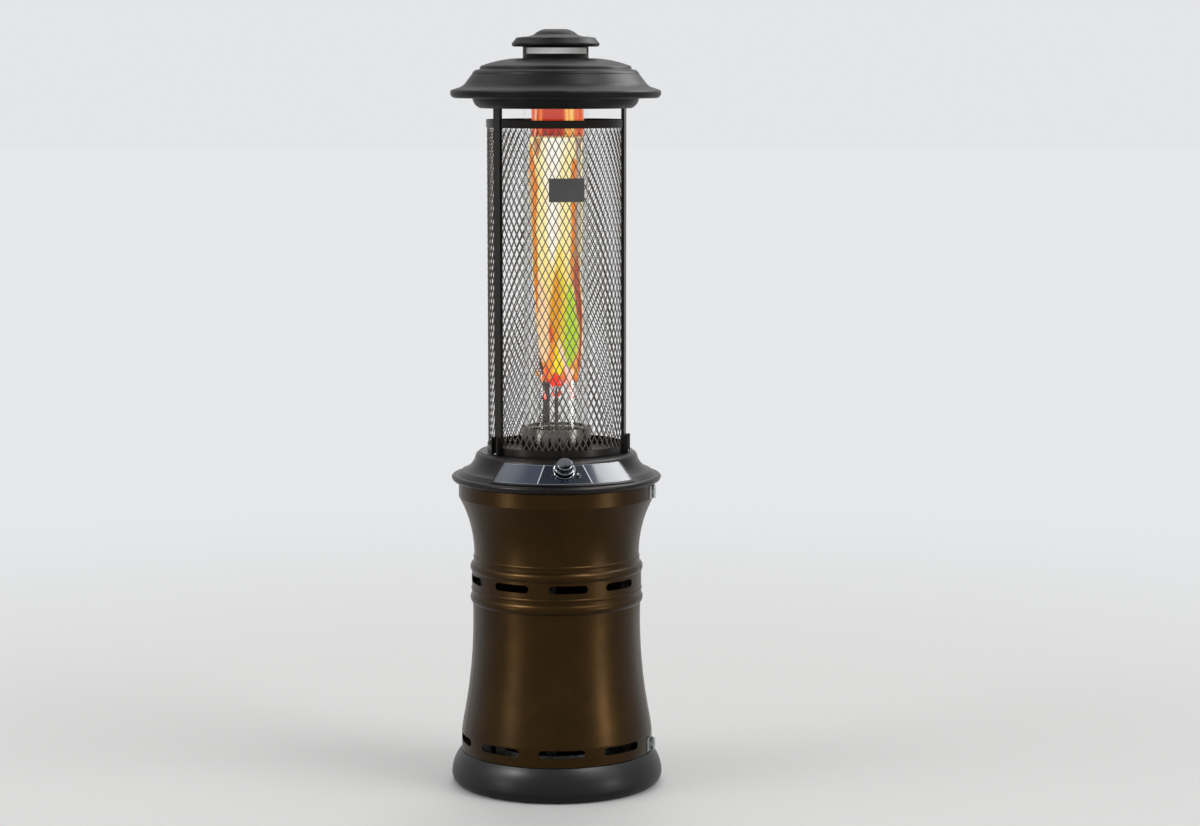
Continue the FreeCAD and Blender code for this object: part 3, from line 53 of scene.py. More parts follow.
Colour = tuple[float, float, float, float]
Place = tuple[float, float]
Tree = bpy.types.NodeTree
Socket = bpy.types.NodeSocket


class Body(Enum):
    """The rigid body of the part that every added piece rides on."""

    HEATER = "heater"


class Grain(Enum):
    """How a metal surface was worked, with the stretch that this gives its lines along X, Y and Z."""

    TURNED = (0.06, 0.06, 1.0)
    DRAWN = (1.0, 1.0, 0.03)


def linear(code: str) -> Colour:
    """Turn an sRGB hex colour into linear values.

    Args:
        code: colour such as "#a0b0c0".

    Returns:
        Red, green, blue and an alpha of 1.
    """
    values = []
    for start in (1, 3, 5):
        share = int(code[start:start + 2], 16) / 255
        values.append(share / 12.92 if share <= 0.04045 else ((share + 0.055) / 1.055) ** 2.4)
    return values[0], values[1], values[2], 1.0


def mixed(first: Colour, second: Colour, share: float) -> Colour:
    """Colour between two colours, from the first at 0 to the second at 1."""
    red, green, blue, alpha = (a + (b - a) * share for a, b in zip(first, second))
    return red, green, blue, alpha


def per_metre(size_mm: float) -> float:
    """Scale of a pattern whose features are this many millimetres across."""
    return 1000.0 / size_mm


def add_node(tree: Tree, kind: str, settings: dict[str, Any] | None = None,
             values: dict[str | int, Any] | None = None,
             links: dict[str | int, Socket] | None = None) -> bpy.types.Node:
    """Add a node with its settings, its unlinked input values and its links.

    Args:
        tree: node tree that gets the node.
        kind: Blender's name of the node type.
        settings: properties of the node itself.
        values: input values by socket name or number.
        links: output sockets to link, by input socket name or number.

    Returns:
        The new node.
    """
    node = tree.nodes.new(kind)
    for name, value in (settings or {}).items():
        setattr(node, name, value)
    for socket, value in (values or {}).items():
        node.inputs[socket].default_value = value
    for socket, source in (links or {}).items():
        tree.links.new(source, node.inputs[socket])
    return node


def own_place(tree: Tree) -> Socket:
    """Place on the piece, in metres."""
    return add_node(tree, "ShaderNodeTexCoord").outputs["Object"]


def stretched(tree: Tree, place: Socket, scale: tuple[float, float, float]) -> Socket:
    """Place scaled along each axis, so that a pattern on it stretches where the scale is small."""
    return add_node(tree, "ShaderNodeMapping", values={"Scale": scale},
                    links={"Vector": place}).outputs["Vector"]


def clouds(tree: Tree, place: Socket, size_mm: float, detail: float, roughness: float = 0.5,
           distortion: float = 0.0) -> Socket:
    """Noise from 0 to 1 whose features are this many millimetres across."""
    values = {"Scale": per_metre(size_mm), "Detail": detail, "Roughness": roughness,
              "Distortion": distortion}
    return add_node(tree, "ShaderNodeTexNoise", values=values, links={"Vector": place}).outputs["Fac"]


def patches(tree: Tree, place: Socket, size_mm: float, channel: str) -> Socket:
    """Cells this many millimetres across, each with a value of its own from 0 to 1."""
    cells = add_node(tree, "ShaderNodeTexVoronoi", values={"Scale": per_metre(size_mm)},
                     links={"Vector": place}).outputs["Color"]
    return add_node(tree, "ShaderNodeSeparateColor", links={"Color": cells}).outputs[channel]


def spread(tree: Tree, value: Socket, low: float, high: float, start: float = 0.0,
           end: float = 1.0) -> Socket:
    """Value brought from the range between start and end to the one between low and high."""
    values = {"From Min": start, "From Max": end, "To Min": low, "To Max": high}
    return add_node(tree, "ShaderNodeMapRange", values=values, links={"Value": value}).outputs["Result"]


def blended(tree: Tree, share: Socket, first: str, second: str) -> Socket:
    """Tone between two tones, by a share."""
    return add_node(tree, "ShaderNodeMix", settings={"data_type": "RGBA"},
                    values={6: linear(first), 7: linear(second)}, links={0: share}).outputs[2]


def relief(tree: Tree, height: Socket, strength: float, depth_mm: float) -> Socket:
    """Bump of a pattern this many millimetres deep."""
    return add_node(tree, "ShaderNodeBump", values={"Strength": strength, "Distance": depth_mm / 1000},
                    links={"Height": height}).outputs["Normal"]


def calculated(tree: Tree, operation: str, first: Socket, second: Socket) -> Socket:
    """Result of an operation on two values."""
    return add_node(tree, "ShaderNodeMath", settings={"operation": operation},
                    links={0: first, 1: second}).outputs[0]


def skin(tree: Tree, values: dict[str, Any], links: dict[str, Socket]) -> Socket:
    """Principled surface with these input values and links."""
    return add_node(tree, "ShaderNodeBsdfPrincipled", values=values, links=links).outputs["BSDF"]


def mixture(tree: Tree, share: Socket, first: Socket, second: Socket) -> Socket:
    """Shader between two shaders, from the first at 0 to the second at 1."""
    return add_node(tree, "ShaderNodeMixShader", links={0: share, 1: first, 2: second}).outputs["Shader"]


def ray_is(tree: Tree, kind: str) -> Socket:
    """Whether the ray is of a kind, such as Camera or Shadow, as 0 or 1."""
    return add_node(tree, "ShaderNodeLightPath").outputs["Is %s Ray" % kind]


@dataclass(frozen=True)
class Finish:
    """A surface finish that makes one material."""

    name: str

    def make(self) -> bpy.types.Material:
        """Make the material, or return it where it was made before."""
        known = bpy.data.materials.get(self.name)
        if known is not None:
            return known
        material = bpy.data.materials.new(self.name)
        material.use_nodes = True
        tree = material.node_tree
        tree.nodes.clear()
        add_node(tree, "ShaderNodeOutputMaterial", links={"Surface": self.shade(tree)})
        return material

    def shade(self, tree: Tree) -> Socket:
        """Build the nodes and return the shader's output socket."""
        raise NotImplementedError


@dataclass(frozen=True)
class PowderCoat(Finish):
    """Powder coated steel: a baked coat with a faint orange peel, cloudy in tone, soft in its gloss."""

    tone: str
    second_tone: str
    metallic: float = 0.0
    roughness: float = 0.42
    specular: float = 0.25
    coat: float = 0.0
    coat_roughness: float = 0.2
    peel_mm: float = 3.0
    peel_depth_mm: float = 0.05
    cloud_mm: float = 120.0
    fleck: float = 0.0
    fleck_mm: float = 2.0

    def shade(self, tree: Tree) -> Socket:
        """Cloudy tone, metal flecks, uneven gloss and an orange peel bump."""
        place = own_place(tree)
        cloud = clouds(tree, place, self.cloud_mm, 3.0, 0.6)
        colour = blended(tree, spread(tree, cloud, 0.0, 1.0, 0.3, 0.7), self.tone, self.second_tone)
        if self.fleck > 0:
            # flecks of 0.1 mm are too fine to show, so they are drawn 2 mm across and faint
            gain = spread(tree, patches(tree, place, self.fleck_mm, "Red"), 1.0 - self.fleck, 1.0 + self.fleck)
            colour = add_node(tree, "ShaderNodeVectorMath", settings={"operation": "SCALE"},
                              links={0: colour, "Scale": gain}).outputs["Vector"]
        gloss = spread(tree, cloud, self.roughness - 0.05, self.roughness + 0.07)
        peel = relief(tree, clouds(tree, place, self.peel_mm, 1.0), 0.6, self.peel_depth_mm)
        return skin(tree, {"Metallic": self.metallic, "Coat Weight": self.coat,
                           "Coat Roughness": self.coat_roughness, "Specular IOR Level": self.specular},
                    {"Base Color": colour, "Roughness": gloss, "Normal": peel})


@dataclass(frozen=True)
class BareMetal(Finish):
    """Bare or plated metal with the fine lines of its working, which stretch its highlights."""

    tone: str
    second_tone: str
    roughness: float = 0.3
    grain: Grain = Grain.TURNED
    line_mm: float = 1.6
    line_depth_mm: float = 0.012
    stain_mm: float = 35.0
    coat: float = 0.0

    def shade(self, tree: Tree) -> Socket:
        """Lines along the working direction, in bump and in roughness, and a faint stain."""
        place = own_place(tree)
        lines = clouds(tree, stretched(tree, place, self.grain.value), self.line_mm, 3.0, 0.7)
        stain = clouds(tree, place, self.stain_mm, 4.0, 0.65)
        return skin(tree, {"Metallic": 1.0, "Coat Weight": self.coat}, {
            "Base Color": blended(tree, stain, self.tone, self.second_tone),
            "Roughness": spread(tree, lines, self.roughness * 0.75, self.roughness * 1.35),
            "Normal": relief(tree, lines, 0.7, self.line_depth_mm)})


@dataclass(frozen=True)
class ZincPlate(Finish):
    """Galvanised steel: a grey skin of zinc with the flat crystals of its spangle."""

    tone: str = "#8f9492"
    second_tone: str = "#aeb2af"
    spangle_mm: float = 9.0

    def shade(self, tree: Tree) -> Socket:
        """Crystals that differ in tone and in gloss."""
        grey = patches(tree, own_place(tree), self.spangle_mm, "Green")
        return skin(tree, {"Metallic": 1.0}, {"Base Color": blended(tree, grey, self.tone, self.second_tone),
                                              "Roughness": spread(tree, grey, 0.34, 0.5)})


@dataclass(frozen=True)
class Moulded(Finish):
    """Moulded plastic or rubber: even colour, a fine leather grain from the mould, plain gloss."""

    tone: str
    roughness: float = 0.35
    grain_mm: float = 1.2
    grain_depth_mm: float = 0.03
    dust_mm: float = 22.0
    coat: float = 0.0
    ior: float = 1.5

    def shade(self, tree: Tree) -> Socket:
        """Mould grain as bump, and a little dust in the tone."""
        place = own_place(tree)
        grain = add_node(tree, "ShaderNodeTexVoronoi", settings={"feature": "SMOOTH_F1"},
                         values={"Scale": per_metre(self.grain_mm)},
                         links={"Vector": place}).outputs["Distance"]
        dust = clouds(tree, place, self.dust_mm, 5.0, 0.7)
        colour = add_node(tree, "ShaderNodeVectorMath", settings={"operation": "SCALE"},
                          values={0: linear(self.tone)[:3]},
                          links={"Scale": spread(tree, dust, 0.86, 1.16)}).outputs["Vector"]
        return skin(tree, {"IOR": self.ior, "Coat Weight": self.coat, "Coat Roughness": 0.08}, {
            "Base Color": colour, "Roughness": spread(tree, dust, self.roughness - 0.04, self.roughness + 0.1),
            "Normal": relief(tree, grain, 0.5, self.grain_depth_mm)})


@dataclass(frozen=True)
class DrawnGlass(Finish):
    """Drawn borosilicate tube: clear, with bright edges and faint lengthwise drawing lines."""

    # drawing lines are 10 to 20 mm apart and under a hundredth of a millimetre deep
    line_mm: float = 14.0

    def shade(self, tree: Tree) -> Socket:
        """Clear glass that lets light and shadow rays straight through."""
        lines = clouds(tree, stretched(tree, own_place(tree), (1.0, 1.0, 0.02)), self.line_mm, 2.0)
        glass = skin(tree, {"Base Color": linear("#ffffff"), "Roughness": 0.01, "IOR": 1.47,
                            "Transmission Weight": 1.0}, {"Normal": relief(tree, lines, 0.15, 0.2)})
        clear = add_node(tree, "ShaderNodeBsdfTransparent",
                         values={"Color": linear("#f6f8f8")}).outputs["BSDF"]
        return mixture(tree, ray_is(tree, "Shadow"), glass, clear)


@dataclass(frozen=True)
class WovenFibre(Finish):
    """Woven glass fibre tape: off-white, dull, with the ribs of its braid."""

    tone: str = "#c9c3b4"
    # tone of the painted shade in the gaps of the braid
    gap_painted_shade: str = "#8f897c"
    rib_mm: float = 2.0

    def shade(self, tree: Tree) -> Socket:
        """Crossed ribs in bump, with painted shade darkening the gaps between them."""
        ribs = add_node(tree, "ShaderNodeTexWave", settings={"bands_direction": "DIAGONAL"},
                        values={"Scale": per_metre(self.rib_mm) / 6.3, "Distortion": 1.5},
                        links={"Vector": own_place(tree)}).outputs["Fac"]
        return skin(tree, {"Roughness": 0.85, "Sheen Weight": 0.2}, {
            # darker in the gaps between the ribs: painted shade
            "Base Color": blended(tree, ribs, self.gap_painted_shade, self.tone),
            "Normal": relief(tree, ribs, 0.8, 0.5)})


@dataclass(frozen=True)
class BurningGas(Finish):
    """Burning gas: its own light in the colours painted on the mesh, open where their alpha is low."""

    streak: str = "#ffdc9c"
    streak_share: float = 0.4
    # streaks of a gas flame are about 10 mm wide and several times as long
    streak_mm: float = 11.0

    def shade(self, tree: Tree) -> Socket:
        """Painted light with fine upward streaks, mixed with clear air."""
        paint = add_node(tree, "ShaderNodeAttribute", settings={"attribute_name": FLAME_TINT})
        place = stretched(tree, own_place(tree), (1.0, 1.0, 0.13))
        streaks = clouds(tree, place, self.streak_mm, 3.0, distortion=0.7)
        colour = add_node(tree, "ShaderNodeMix", settings={"data_type": "RGBA", "blend_type": "MULTIPLY"},
                          values={7: linear(self.streak)},
                          links={0: spread(tree, streaks, 0.0, self.streak_share, 0.46, 0.72),
                                 6: paint.outputs["Color"]}).outputs[2]
        light = add_node(tree, "ShaderNodeEmission", links={"Color": colour}).outputs["Emission"]
        air = add_node(tree, "ShaderNodeBsdfTransparent").outputs["BSDF"]
        return mixture(tree, paint.outputs["Alpha"], air, light)


@dataclass(frozen=True)
class StudioGround(Finish):
    """Plain pale floor that keeps shadows near the heater and melts into the pale surroundings."""

    tone: str = "#e4e4e2"
    far_tone: str = "#e6e7e9"
    shadow_reach: float = 1.6
    fade_reach: float = 5.0

    def shade(self, tree: Tree) -> Socket:
        """Matt tone near the middle, the surroundings' own brightness further out."""
        reach = add_node(tree, "ShaderNodeVectorMath", settings={"operation": "LENGTH"},
                         links={0: own_place(tree)}).outputs["Value"]
        far = add_node(tree, "ShaderNodeMapRange", settings={"interpolation_type": "SMOOTHSTEP"},
                       values={"From Min": self.shadow_reach, "From Max": self.fade_reach},
                       links={"Value": reach}).outputs["Result"]
        matt = skin(tree, {"Base Color": linear(self.tone), "Roughness": 0.9, "Specular IOR Level": 0.1}, {})
        glow = add_node(tree, "ShaderNodeEmission",
                        values={"Color": linear(self.far_tone)}).outputs["Emission"]
        return mixture(tree, calculated(tree, "MULTIPLY", far, ray_is(tree, "Camera")), matt, glow)


# Sheet steel with a bronze metal effect coat: warm dark brown, with soft golden highlights
BRONZE_COAT = PowderCoat("powder_coated_steel_bronze", "#35240d", "#2b1d09", metallic=0.92, roughness=0.34,
                         coat=0.05, coat_roughness=0.28, peel_mm=5.0, peel_depth_mm=0.06, fleck=0.12)
# Spun steel with a smooth black coat: near black with a soft sheen
BLACK_COAT = PowderCoat("powder_coated_steel_black", "#0b0c0e", "#0f1012", metallic=0.1, specular=0.14,
                        peel_mm=5.0, fleck=0.04)
# Pressed steel with a satin coat: dark brown-grey
BROWN_COAT = PowderCoat("powder_coated_steel_brown_grey", "#181513", "#1c1917", metallic=0.4, roughness=0.34,
                        specular=0.18, coat=0.05, peel_mm=4.0, fleck=0.05)
# Rounded base skirt with a satin coat of fine texture: charcoal
CHARCOAL_COAT = PowderCoat("textured_coated_steel_charcoal", "#0f0f11", "#131315", roughness=0.36,
                           specular=0.24, peel_mm=1.8)
# Small plate with a plain grey coat, left bare
GREY_COAT = PowderCoat("coated_steel_plain_grey", "#4b4b4a", "#525251", metallic=0.3, roughness=0.4)
# Stainless sheet of seat and burner plate, in a cloudy dark grey tone that is a painted reflection of dark
# surroundings
STAINLESS_PAINTED_DARK = BareMetal("stainless_steel_painted_dark_reflection", "#8c8a86", "#5c5a57", 0.24)
# Bright woven wire in the neck
VENT_STEEL = BareMetal("bright_steel_wire_cloth", "#f0eeea", "#dcdad4", 0.35)
# Slit and stretched sheet of the guard, dark grey from the oven
MESH_STEEL = BareMetal("expanded_steel_mesh", "#645f5a", "#4b4642", 0.36, Grain.DRAWN)
# Propane that burns yellow: it shines by itself and lets the burner show through its foot
GAS_FIRE = BurningGas("burning_propane")
# Burner steel, blackened by the fire
SOOTY_STEEL = BareMetal("heat_darkened_steel", "#3a3431", "#5b4c40", 0.5)
# Mirror chrome of the bezel, and the slightly rougher chrome of the cast knob, whose darker tone is a painted
# dark reflection
CHROME = BareMetal("polished_chrome_plate", "#a9abae", "#96989c", 0.08, line_mm=8.0, line_depth_mm=0.001,
                   coat=0.3)
KNOB_CHROME_PAINTED_DARK = BareMetal("cast_and_chromed_zinc_alloy", "#7b7d82", "#5f6166", 0.1, line_mm=8.0,
                        line_depth_mm=0.002)
# Zinc on posts, hinges and screws: grey, with spangle where it was dipped
ZINC = ZincPlate("galvanised_steel")
ZINC_SCREW = BareMetal("zinc_plated_steel_screw", "#b4b6b6", "#9c9e9e", 0.28)
# Bright drawn pin, yellow brass of the valve, red copper of the pipe
PIN_STEEL = BareMetal("drawn_steel_pin", "#c4c4c2", "#b0b0ae", 0.22, Grain.DRAWN)
BRASS = BareMetal("turned_brass", "#c7a354", "#b08a3e", 0.25)
COPPER = BareMetal("drawn_copper_tube", "#b9704a", "#9a5636", 0.3, Grain.DRAWN)
# Clear tube round the flame, and the woven tape that it is seated in
GLASS = DrawnGlass("drawn_borosilicate_glass")
FIBRE = WovenFibre("woven_glass_fibre")
# Glossy black plastic, dull rubber, dull red sleeve, and white glazed ceramic
BLACK_PLASTIC = Moulded("moulded_abs_black", "#141416", 0.22, coat=0.4)
RUBBER = Moulded("moulded_rubber_black", "#1b1b1a", 0.7, 2.0)
SILICONE = Moulded("extruded_silicone_sleeve", "#6b2a22", 0.5, 3.0)
CERAMIC = Moulded("glazed_alumina_ceramic", "#e6e2d6", 0.15, 4.0, coat=0.6)
# Printed film of the bare panels: navy in the middle, a lighter glossy slate at the sides that is painted
# reflection, grey lines and a painted white highlight at the edges
LABEL_FILM_PAINTED_REFLECTION = Moulded("polyester_film_slate_painted_reflection", "#2f3a4c", 0.14, 6.0, 0.004, coat=0.25, ior=1.42)
LABEL_FILM_NAVY = Moulded("printed_polyester_film_navy", "#1b2030", 0.14, 6.0, 0.004, ior=1.36)
LABEL_LINE = Moulded("printed_film_grey_line", "#8d949f", 0.2, 6.0, 0.004)
LABEL_PAINTED_HIGHLIGHT = Moulded("painted_highlight_white_band", "#dfe2e7", 0.2, 6.0, 0.004, coat=0.6)


def polar(radius: float, angle: float, level: float) -> Vector:
    """Point at a radius, at an angle from the front in degrees, at a level."""
    turn = math.radians(angle)
    return Vector((radius * math.sin(turn), -radius * math.cos(turn), level))


def at_level(rows: Sequence[tuple[float, ...]], level: float) -> tuple[float, ...]:
    """Values at a level, between rows of values that are held beyond both ends.

    Args:
        rows: rows from below, each with its level and then its values.
        level: the level.

    Returns:
        The values there.
    """
    for (low, *values), (high, *following) in zip(rows, rows[1:]):
        if level <= high:
            share = max(0.0, (level - low) / (high - low))
            return tuple(value + (other - value) * share for value, other in zip(values, following))
    return rows[-1][1:]


def tube_faces(rings: int, size: int) -> list[list[int]]:
    """Faces of a tube whose points are given ring by ring.

    Args:
        rings: number of rings.
        size: points in each ring.

    Returns:
        Corner numbers of each face, with the faces outward where each ring runs anticlockwise.
    """
    faces = []
    for near in range(0, (rings - 1) * size, size):
        for number in range(size):
            following = (number + 1) % size
            faces.append([near + number, near + following, near + size + following, near + size + number])
    return faces


def new_piece(name: str, points: Sequence[Vector], faces: Sequence[Sequence[int]], finish: Finish,
              crease: float = 35.0) -> bpy.types.Object:
    """Make a mesh piece, dress it and let it ride on the heater.

    Args:
        name: name of the piece.
        points: corners in metres.
        faces: corner numbers of each face.
        finish: finish of the whole piece.
        crease: faces that meet at more than this many degrees keep a sharp edge.

    Returns:
        The new object.
    """
    mesh = bpy.data.meshes.new(name)
    mesh.from_pydata([tuple(point) for point in points], [], [tuple(face) for face in faces])
    mesh.update()
    mesh.shade_smooth()
    mesh.set_sharp_from_angle(angle=math.radians(crease))
    mesh.materials.append(finish.make())
    piece = bpy.data.objects.new(name, mesh)
    bpy.context.scene.collection.objects.link(piece)
    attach(piece, Body.HEATER.value)
    return piece


@dataclass
class ScrewHead:
    """Pan head of a screw with a cross recess: its seat, the way it faces, its radius and height."""

    seat: Vector
    facing: Vector
    radius: float
    height: float

    def mesh(self) -> tuple[list[Vector], list[list[int]]]:
        """Corners and faces of the head, closed below, from the floor of its recess outward."""
        # the recess's outline, the taper of its walls, and the dome as (reach, level), in shares of the head
        length, width, corner = 0.58, 0.14, 0.17
        cross = [(length, -width), (length, width), (corner, corner), (width, length), (-width, length),
                 (-corner, corner), (-length, width), (-length, -width), (-corner, -corner),
                 (-width, -length), (width, -length), (corner, -corner)]
        taper, floor = 0.8, 0.45
        dome = ((0.74, 0.86), (0.9, 0.66), (0.985, 0.4), (1.0, 0.2), (1.0, 0.0))
        outline = []
        for (across, up), (next_across, next_up) in zip(cross, cross[1:] + cross[:1]):
            outline += [(across, up), ((across + next_across) / 2, (up + next_up) / 2)]
        rings = [[(across * taper, up * taper, floor) for across, up in outline],
                 [(across, up, 1.0 - 0.2 * (across ** 2 + up ** 2)) for across, up in outline]]
        for reach, level in dome:
            rings.append([(across / math.hypot(across, up) * reach, up / math.hypot(across, up) * reach,
                           level) for across, up in outline])
        turn = self.facing.to_track_quat("Z", "Y")
        points = [self.seat + turn @ Vector((across * self.radius, up * self.radius, level * self.height))
                  for ring in rings for across, up, level in ring]
        size = len(outline)
        faces = [list(range(size)), [len(points) - 1 - number for number in range(size)]]
        # the rings run from the middle outward here, so the faces are turned over
        faces += [[first, fourth, third, second]
                  for first, second, third, fourth in tube_faces(len(rings), size)]
        return points, faces


def drive_screws(node: str, heads: Sequence[ScrewHead]) -> None:
    """Put detailed screw heads in place of a node's plain ones.

    Args:
        node: CAD node that they replace.
        heads: the heads, one for each solid of the node.
    """
    points: list[Vector] = []
    faces: list[list[int]] = []
    for head in heads:
        corners, sides = head.mesh()
        faces.extend([len(points) + corner for corner in side] for side in sides)
        points.extend(corners)
    piece = new_piece(node + "_cross_recessed", points, faces, ZINC_SCREW)
    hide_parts(node)
    log.info("%d screw heads in %s", len(heads), node)


def dress(finish: Finish, nodes: Iterable[str]) -> None:
    """Give carried-over CAD nodes a finish.

    Args:
        finish: finish they get.
        nodes: names of the nodes.
    """
    material = finish.make()
    for name in nodes:
        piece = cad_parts[name]
        if not piece.material_slots:
            piece.data.materials.append(material)
        for slot in piece.material_slots:
            slot.material = material
        log.info("dressed %s in %s", name, finish.name)


@dataclass
class Cabinet:
    """Base, shell, door, hinges and what the shell holds."""

    plated: tuple[str, ...] = (
        "base_plate", "bottle_hoop", "frame_post_left", "frame_post_right", "frame_post_rear",
        "hinge_lower_fixed_leaf", "hinge_lower_door_leaf", "hinge_upper_fixed_leaf", "hinge_upper_door_leaf")
    screw_angle: float = 76.286
    screw_radius: float = 0.0026
    screw_height: float = 0.0015
    # radius and level of each hinge screw
    screw_places: tuple[tuple[float, float], ...] = (
        (0.2493, 0.10125), (0.2493, 0.11775), (0.2540, 0.76075), (0.2540, 0.77725))

    def build(self) -> None:
        """Dress every node of the cabinet."""
        dress(BRONZE_COAT, ("rear_shell", "door_panel"))
        dress(CHARCOAL_COAT, ("base_ring",))
        dress(ZINC, self.plated)
        dress(PIN_STEEL, ("hinge_pin_lower", "hinge_pin_upper"))
        dress(RUBBER, ("foot_pads",))
        dress(BLACK_PLASTIC, ("door_magnet",))
        outward = polar(1.0, self.screw_angle, 0.0)
        drive_screws("hinge_screws", [
            ScrewHead(polar(radius, self.screw_angle, level), outward, self.screw_radius, self.screw_height)
            for radius, level in self.screw_places])


@dataclass
class Console:
    """Console ring, deck, control panel with its knob and button, and the gas parts behind it."""

    # the panel's cone: its slope, and the radius and level of the line that slopes are measured from
    slope: float = math.radians(43.2)
    line_radius: float = 0.205
    line_level: float = 0.861
    # the labels: radius of their upper and lower edge, half width of the middle one there, outer angle
    top_radius: float = 0.2086
    low_radius: float = 0.2541
    centre_top: float = 0.047
    centre_low: float = 0.077
    side_angle: float = 43.5
    label_gap: float = 0.0015
    # what is printed on them and the painted white highlight between them: width of a line and of the highlight
    # band, their lift and thickness
    edge_width: float = 0.0007
    highlight_width: float = 0.0024
    edge_lift: float = 0.0008
    print_depth: float = 0.0003
    # the knob: how far down the slope its axis is, the bezel, the marks round it
    knob_along: float = 0.024
    bezel_radius: float = 0.0287
    mark_count: int = 7
    mark_span: tuple[float, float] = (112.0, 248.0)
    mark_reach: tuple[float, float] = (0.0312, 0.0326)
    mark_growth: float = 0.0005
    # round shoulder under the deck's edge: its arc in (radius, level)
    shoulder_centre: tuple[float, float] = (0.19435, 0.85271)
    shoulder_radius: float = 0.01480
    opening_depth: float = 0.2012
    opening_angle: float = 14.6
    lip_end: float = 0.2082
    lip_thickness: float = 0.0006

    def build(self) -> None:
        """Dress the console, close its shoulder and print the edges and marks of its labels."""
        dress(BROWN_COAT, ("console_ring", "deck_plate", "control_fascia"))
        # the side labels' lighter slate tone is a painted reflection
        dress(LABEL_FILM_PAINTED_REFLECTION, ("label_left", "label_right"))
        dress(LABEL_FILM_NAVY, ("label_centre",))
        dress(CHROME, ("knob_bezel",))
        # the knob's darker chrome tone is a painted dark reflection
        dress(KNOB_CHROME_PAINTED_DARK, ("control_knob",))
        dress(BLACK_PLASTIC, ("igniter_housing", "igniter_button", "tilt_switch"))
        dress(BRASS, ("valve_stem", "valve_push_sleeve", "gas_valve"))
        dress(COPPER, ("gas_pipe", "thermocouple"))
        dress(SILICONE, ("ignition_lead",))
        self.shoulder_lip()
        self.label_edges()
        self.knob_marks()

    def off_knob(self, spot: Vector) -> float:
        """Distance of a point from the knob's axis."""
        rise, run = math.sin(self.slope), math.cos(self.slope)
        outward = Vector((0.0, -rise, run))
        foot = Vector((0.0, -(self.line_radius + self.knob_along * run),
                       self.line_level - self.knob_along * rise))
        offset = spot - foot
        return (offset - outward * offset.dot(outward)).length

    def on_shoulder(self, radius: float, angle: float) -> Vector:
        """Point on the round shoulder at a radius and an angle."""
        centre, level = self.shoulder_centre
        return polar(radius, angle, level + math.sqrt(self.shoulder_radius ** 2 - (radius - centre) ** 2))

    def shoulder_lip(self) -> None:
        """Pressed lip that closes the shoulder above the panel, on both sides of the knob's bezel."""
        columns, rows, step = 96, 6, 0.0001
        points, faces = [], []
        for column in range(columns + 1):
            angle = self.opening_angle * (2 * column / columns - 1)
            inner = min(self.opening_depth / math.cos(math.radians(angle)), self.lip_end - 2 * step)
            outer = self.lip_end
            while outer > inner and self.off_knob(self.on_shoulder(outer, angle)) < self.bezel_radius:
                outer -= step
            outer = max(outer, inner + step)
            points.extend(self.on_shoulder(inner + (outer - inner) * row / rows, angle)
                          for row in range(rows + 1))
        for column in range(columns):
            for row in range(rows):
                near = column * (rows + 1) + row
                far = near + rows + 1
                faces.append([near, near + 1, far + 1, far])
        lip = new_piece("console_shoulder_lip", points, faces, BROWN_COAT)
        lip.modifiers.new("thickness", "SOLIDIFY").thickness = self.lip_thickness
        log.info("lip over the opening behind the panel")

    def knob_marks(self) -> None:
        """Plain dashes round the knob that grow in length, with no words."""
        first, last = self.mark_span
        inner, outer = self.mark_reach
        for number in range(self.mark_count):
            turn = math.radians(first + (last - first) * number / (self.mark_count - 1))
            route = []
            for reach in (inner, outer + self.mark_growth * number):
                across = reach * math.sin(turn)
                along = self.knob_along - reach * math.cos(turn)
                radius = self.line_radius + along * math.cos(self.slope)
                route.append((across, -math.sqrt(radius ** 2 - across ** 2)))
            self.outline_strip("knob_mark_%d" % number, route, self.edge_width, LABEL_LINE)
        log.info("%d marks round the knob", self.mark_count)

    def on_cone(self, across: float, back: float) -> Vector:
        """Point of the panel's cone, just above the labels, over a place in plan."""
        rise, run = math.sin(self.slope), math.cos(self.slope)
        radius = math.hypot(across, back)
        level = self.line_level - (radius - self.line_radius) / run * rise
        outward = Vector((across / radius * rise, back / radius * rise, run))
        return Vector((across, back, level)) + outward * self.edge_lift

    def outline_strip(self, name: str, route: Sequence[Place], width: float, finish: Finish) -> None:
        """Thin raised strip that follows a route in plan over the panel.

        Args:
            name: name of the piece.
            route: places in plan, in order.
            width: width of the strip.
            finish: its finish.
        """
        points = []
        for number, place in enumerate(route):
            before = Vector(route[max(number - 1, 0)])
            after = Vector(route[min(number + 1, len(route) - 1)])
            way = (after - before).normalized()
            side = Vector((-way.y, way.x)) * (width / 2)
            for share in (-1, 1):
                spot = Vector(place) + side * share
                top = self.on_cone(spot.x, spot.y)
                points.extend((top, top - Vector((0, 0, self.print_depth))))
        last = (len(route) - 1) * 4
        faces = []
        for first in range(0, last, 4):
            faces.extend([first + corner for corner in side]
                         for side in ((0, 4, 6, 2), (1, 3, 7, 5), (0, 1, 5, 4), (2, 6, 7, 3)))
        faces += [[0, 2, 3, 1], [last, last + 1, last + 3, last + 2]]
        new_piece(name, points, faces, finish)

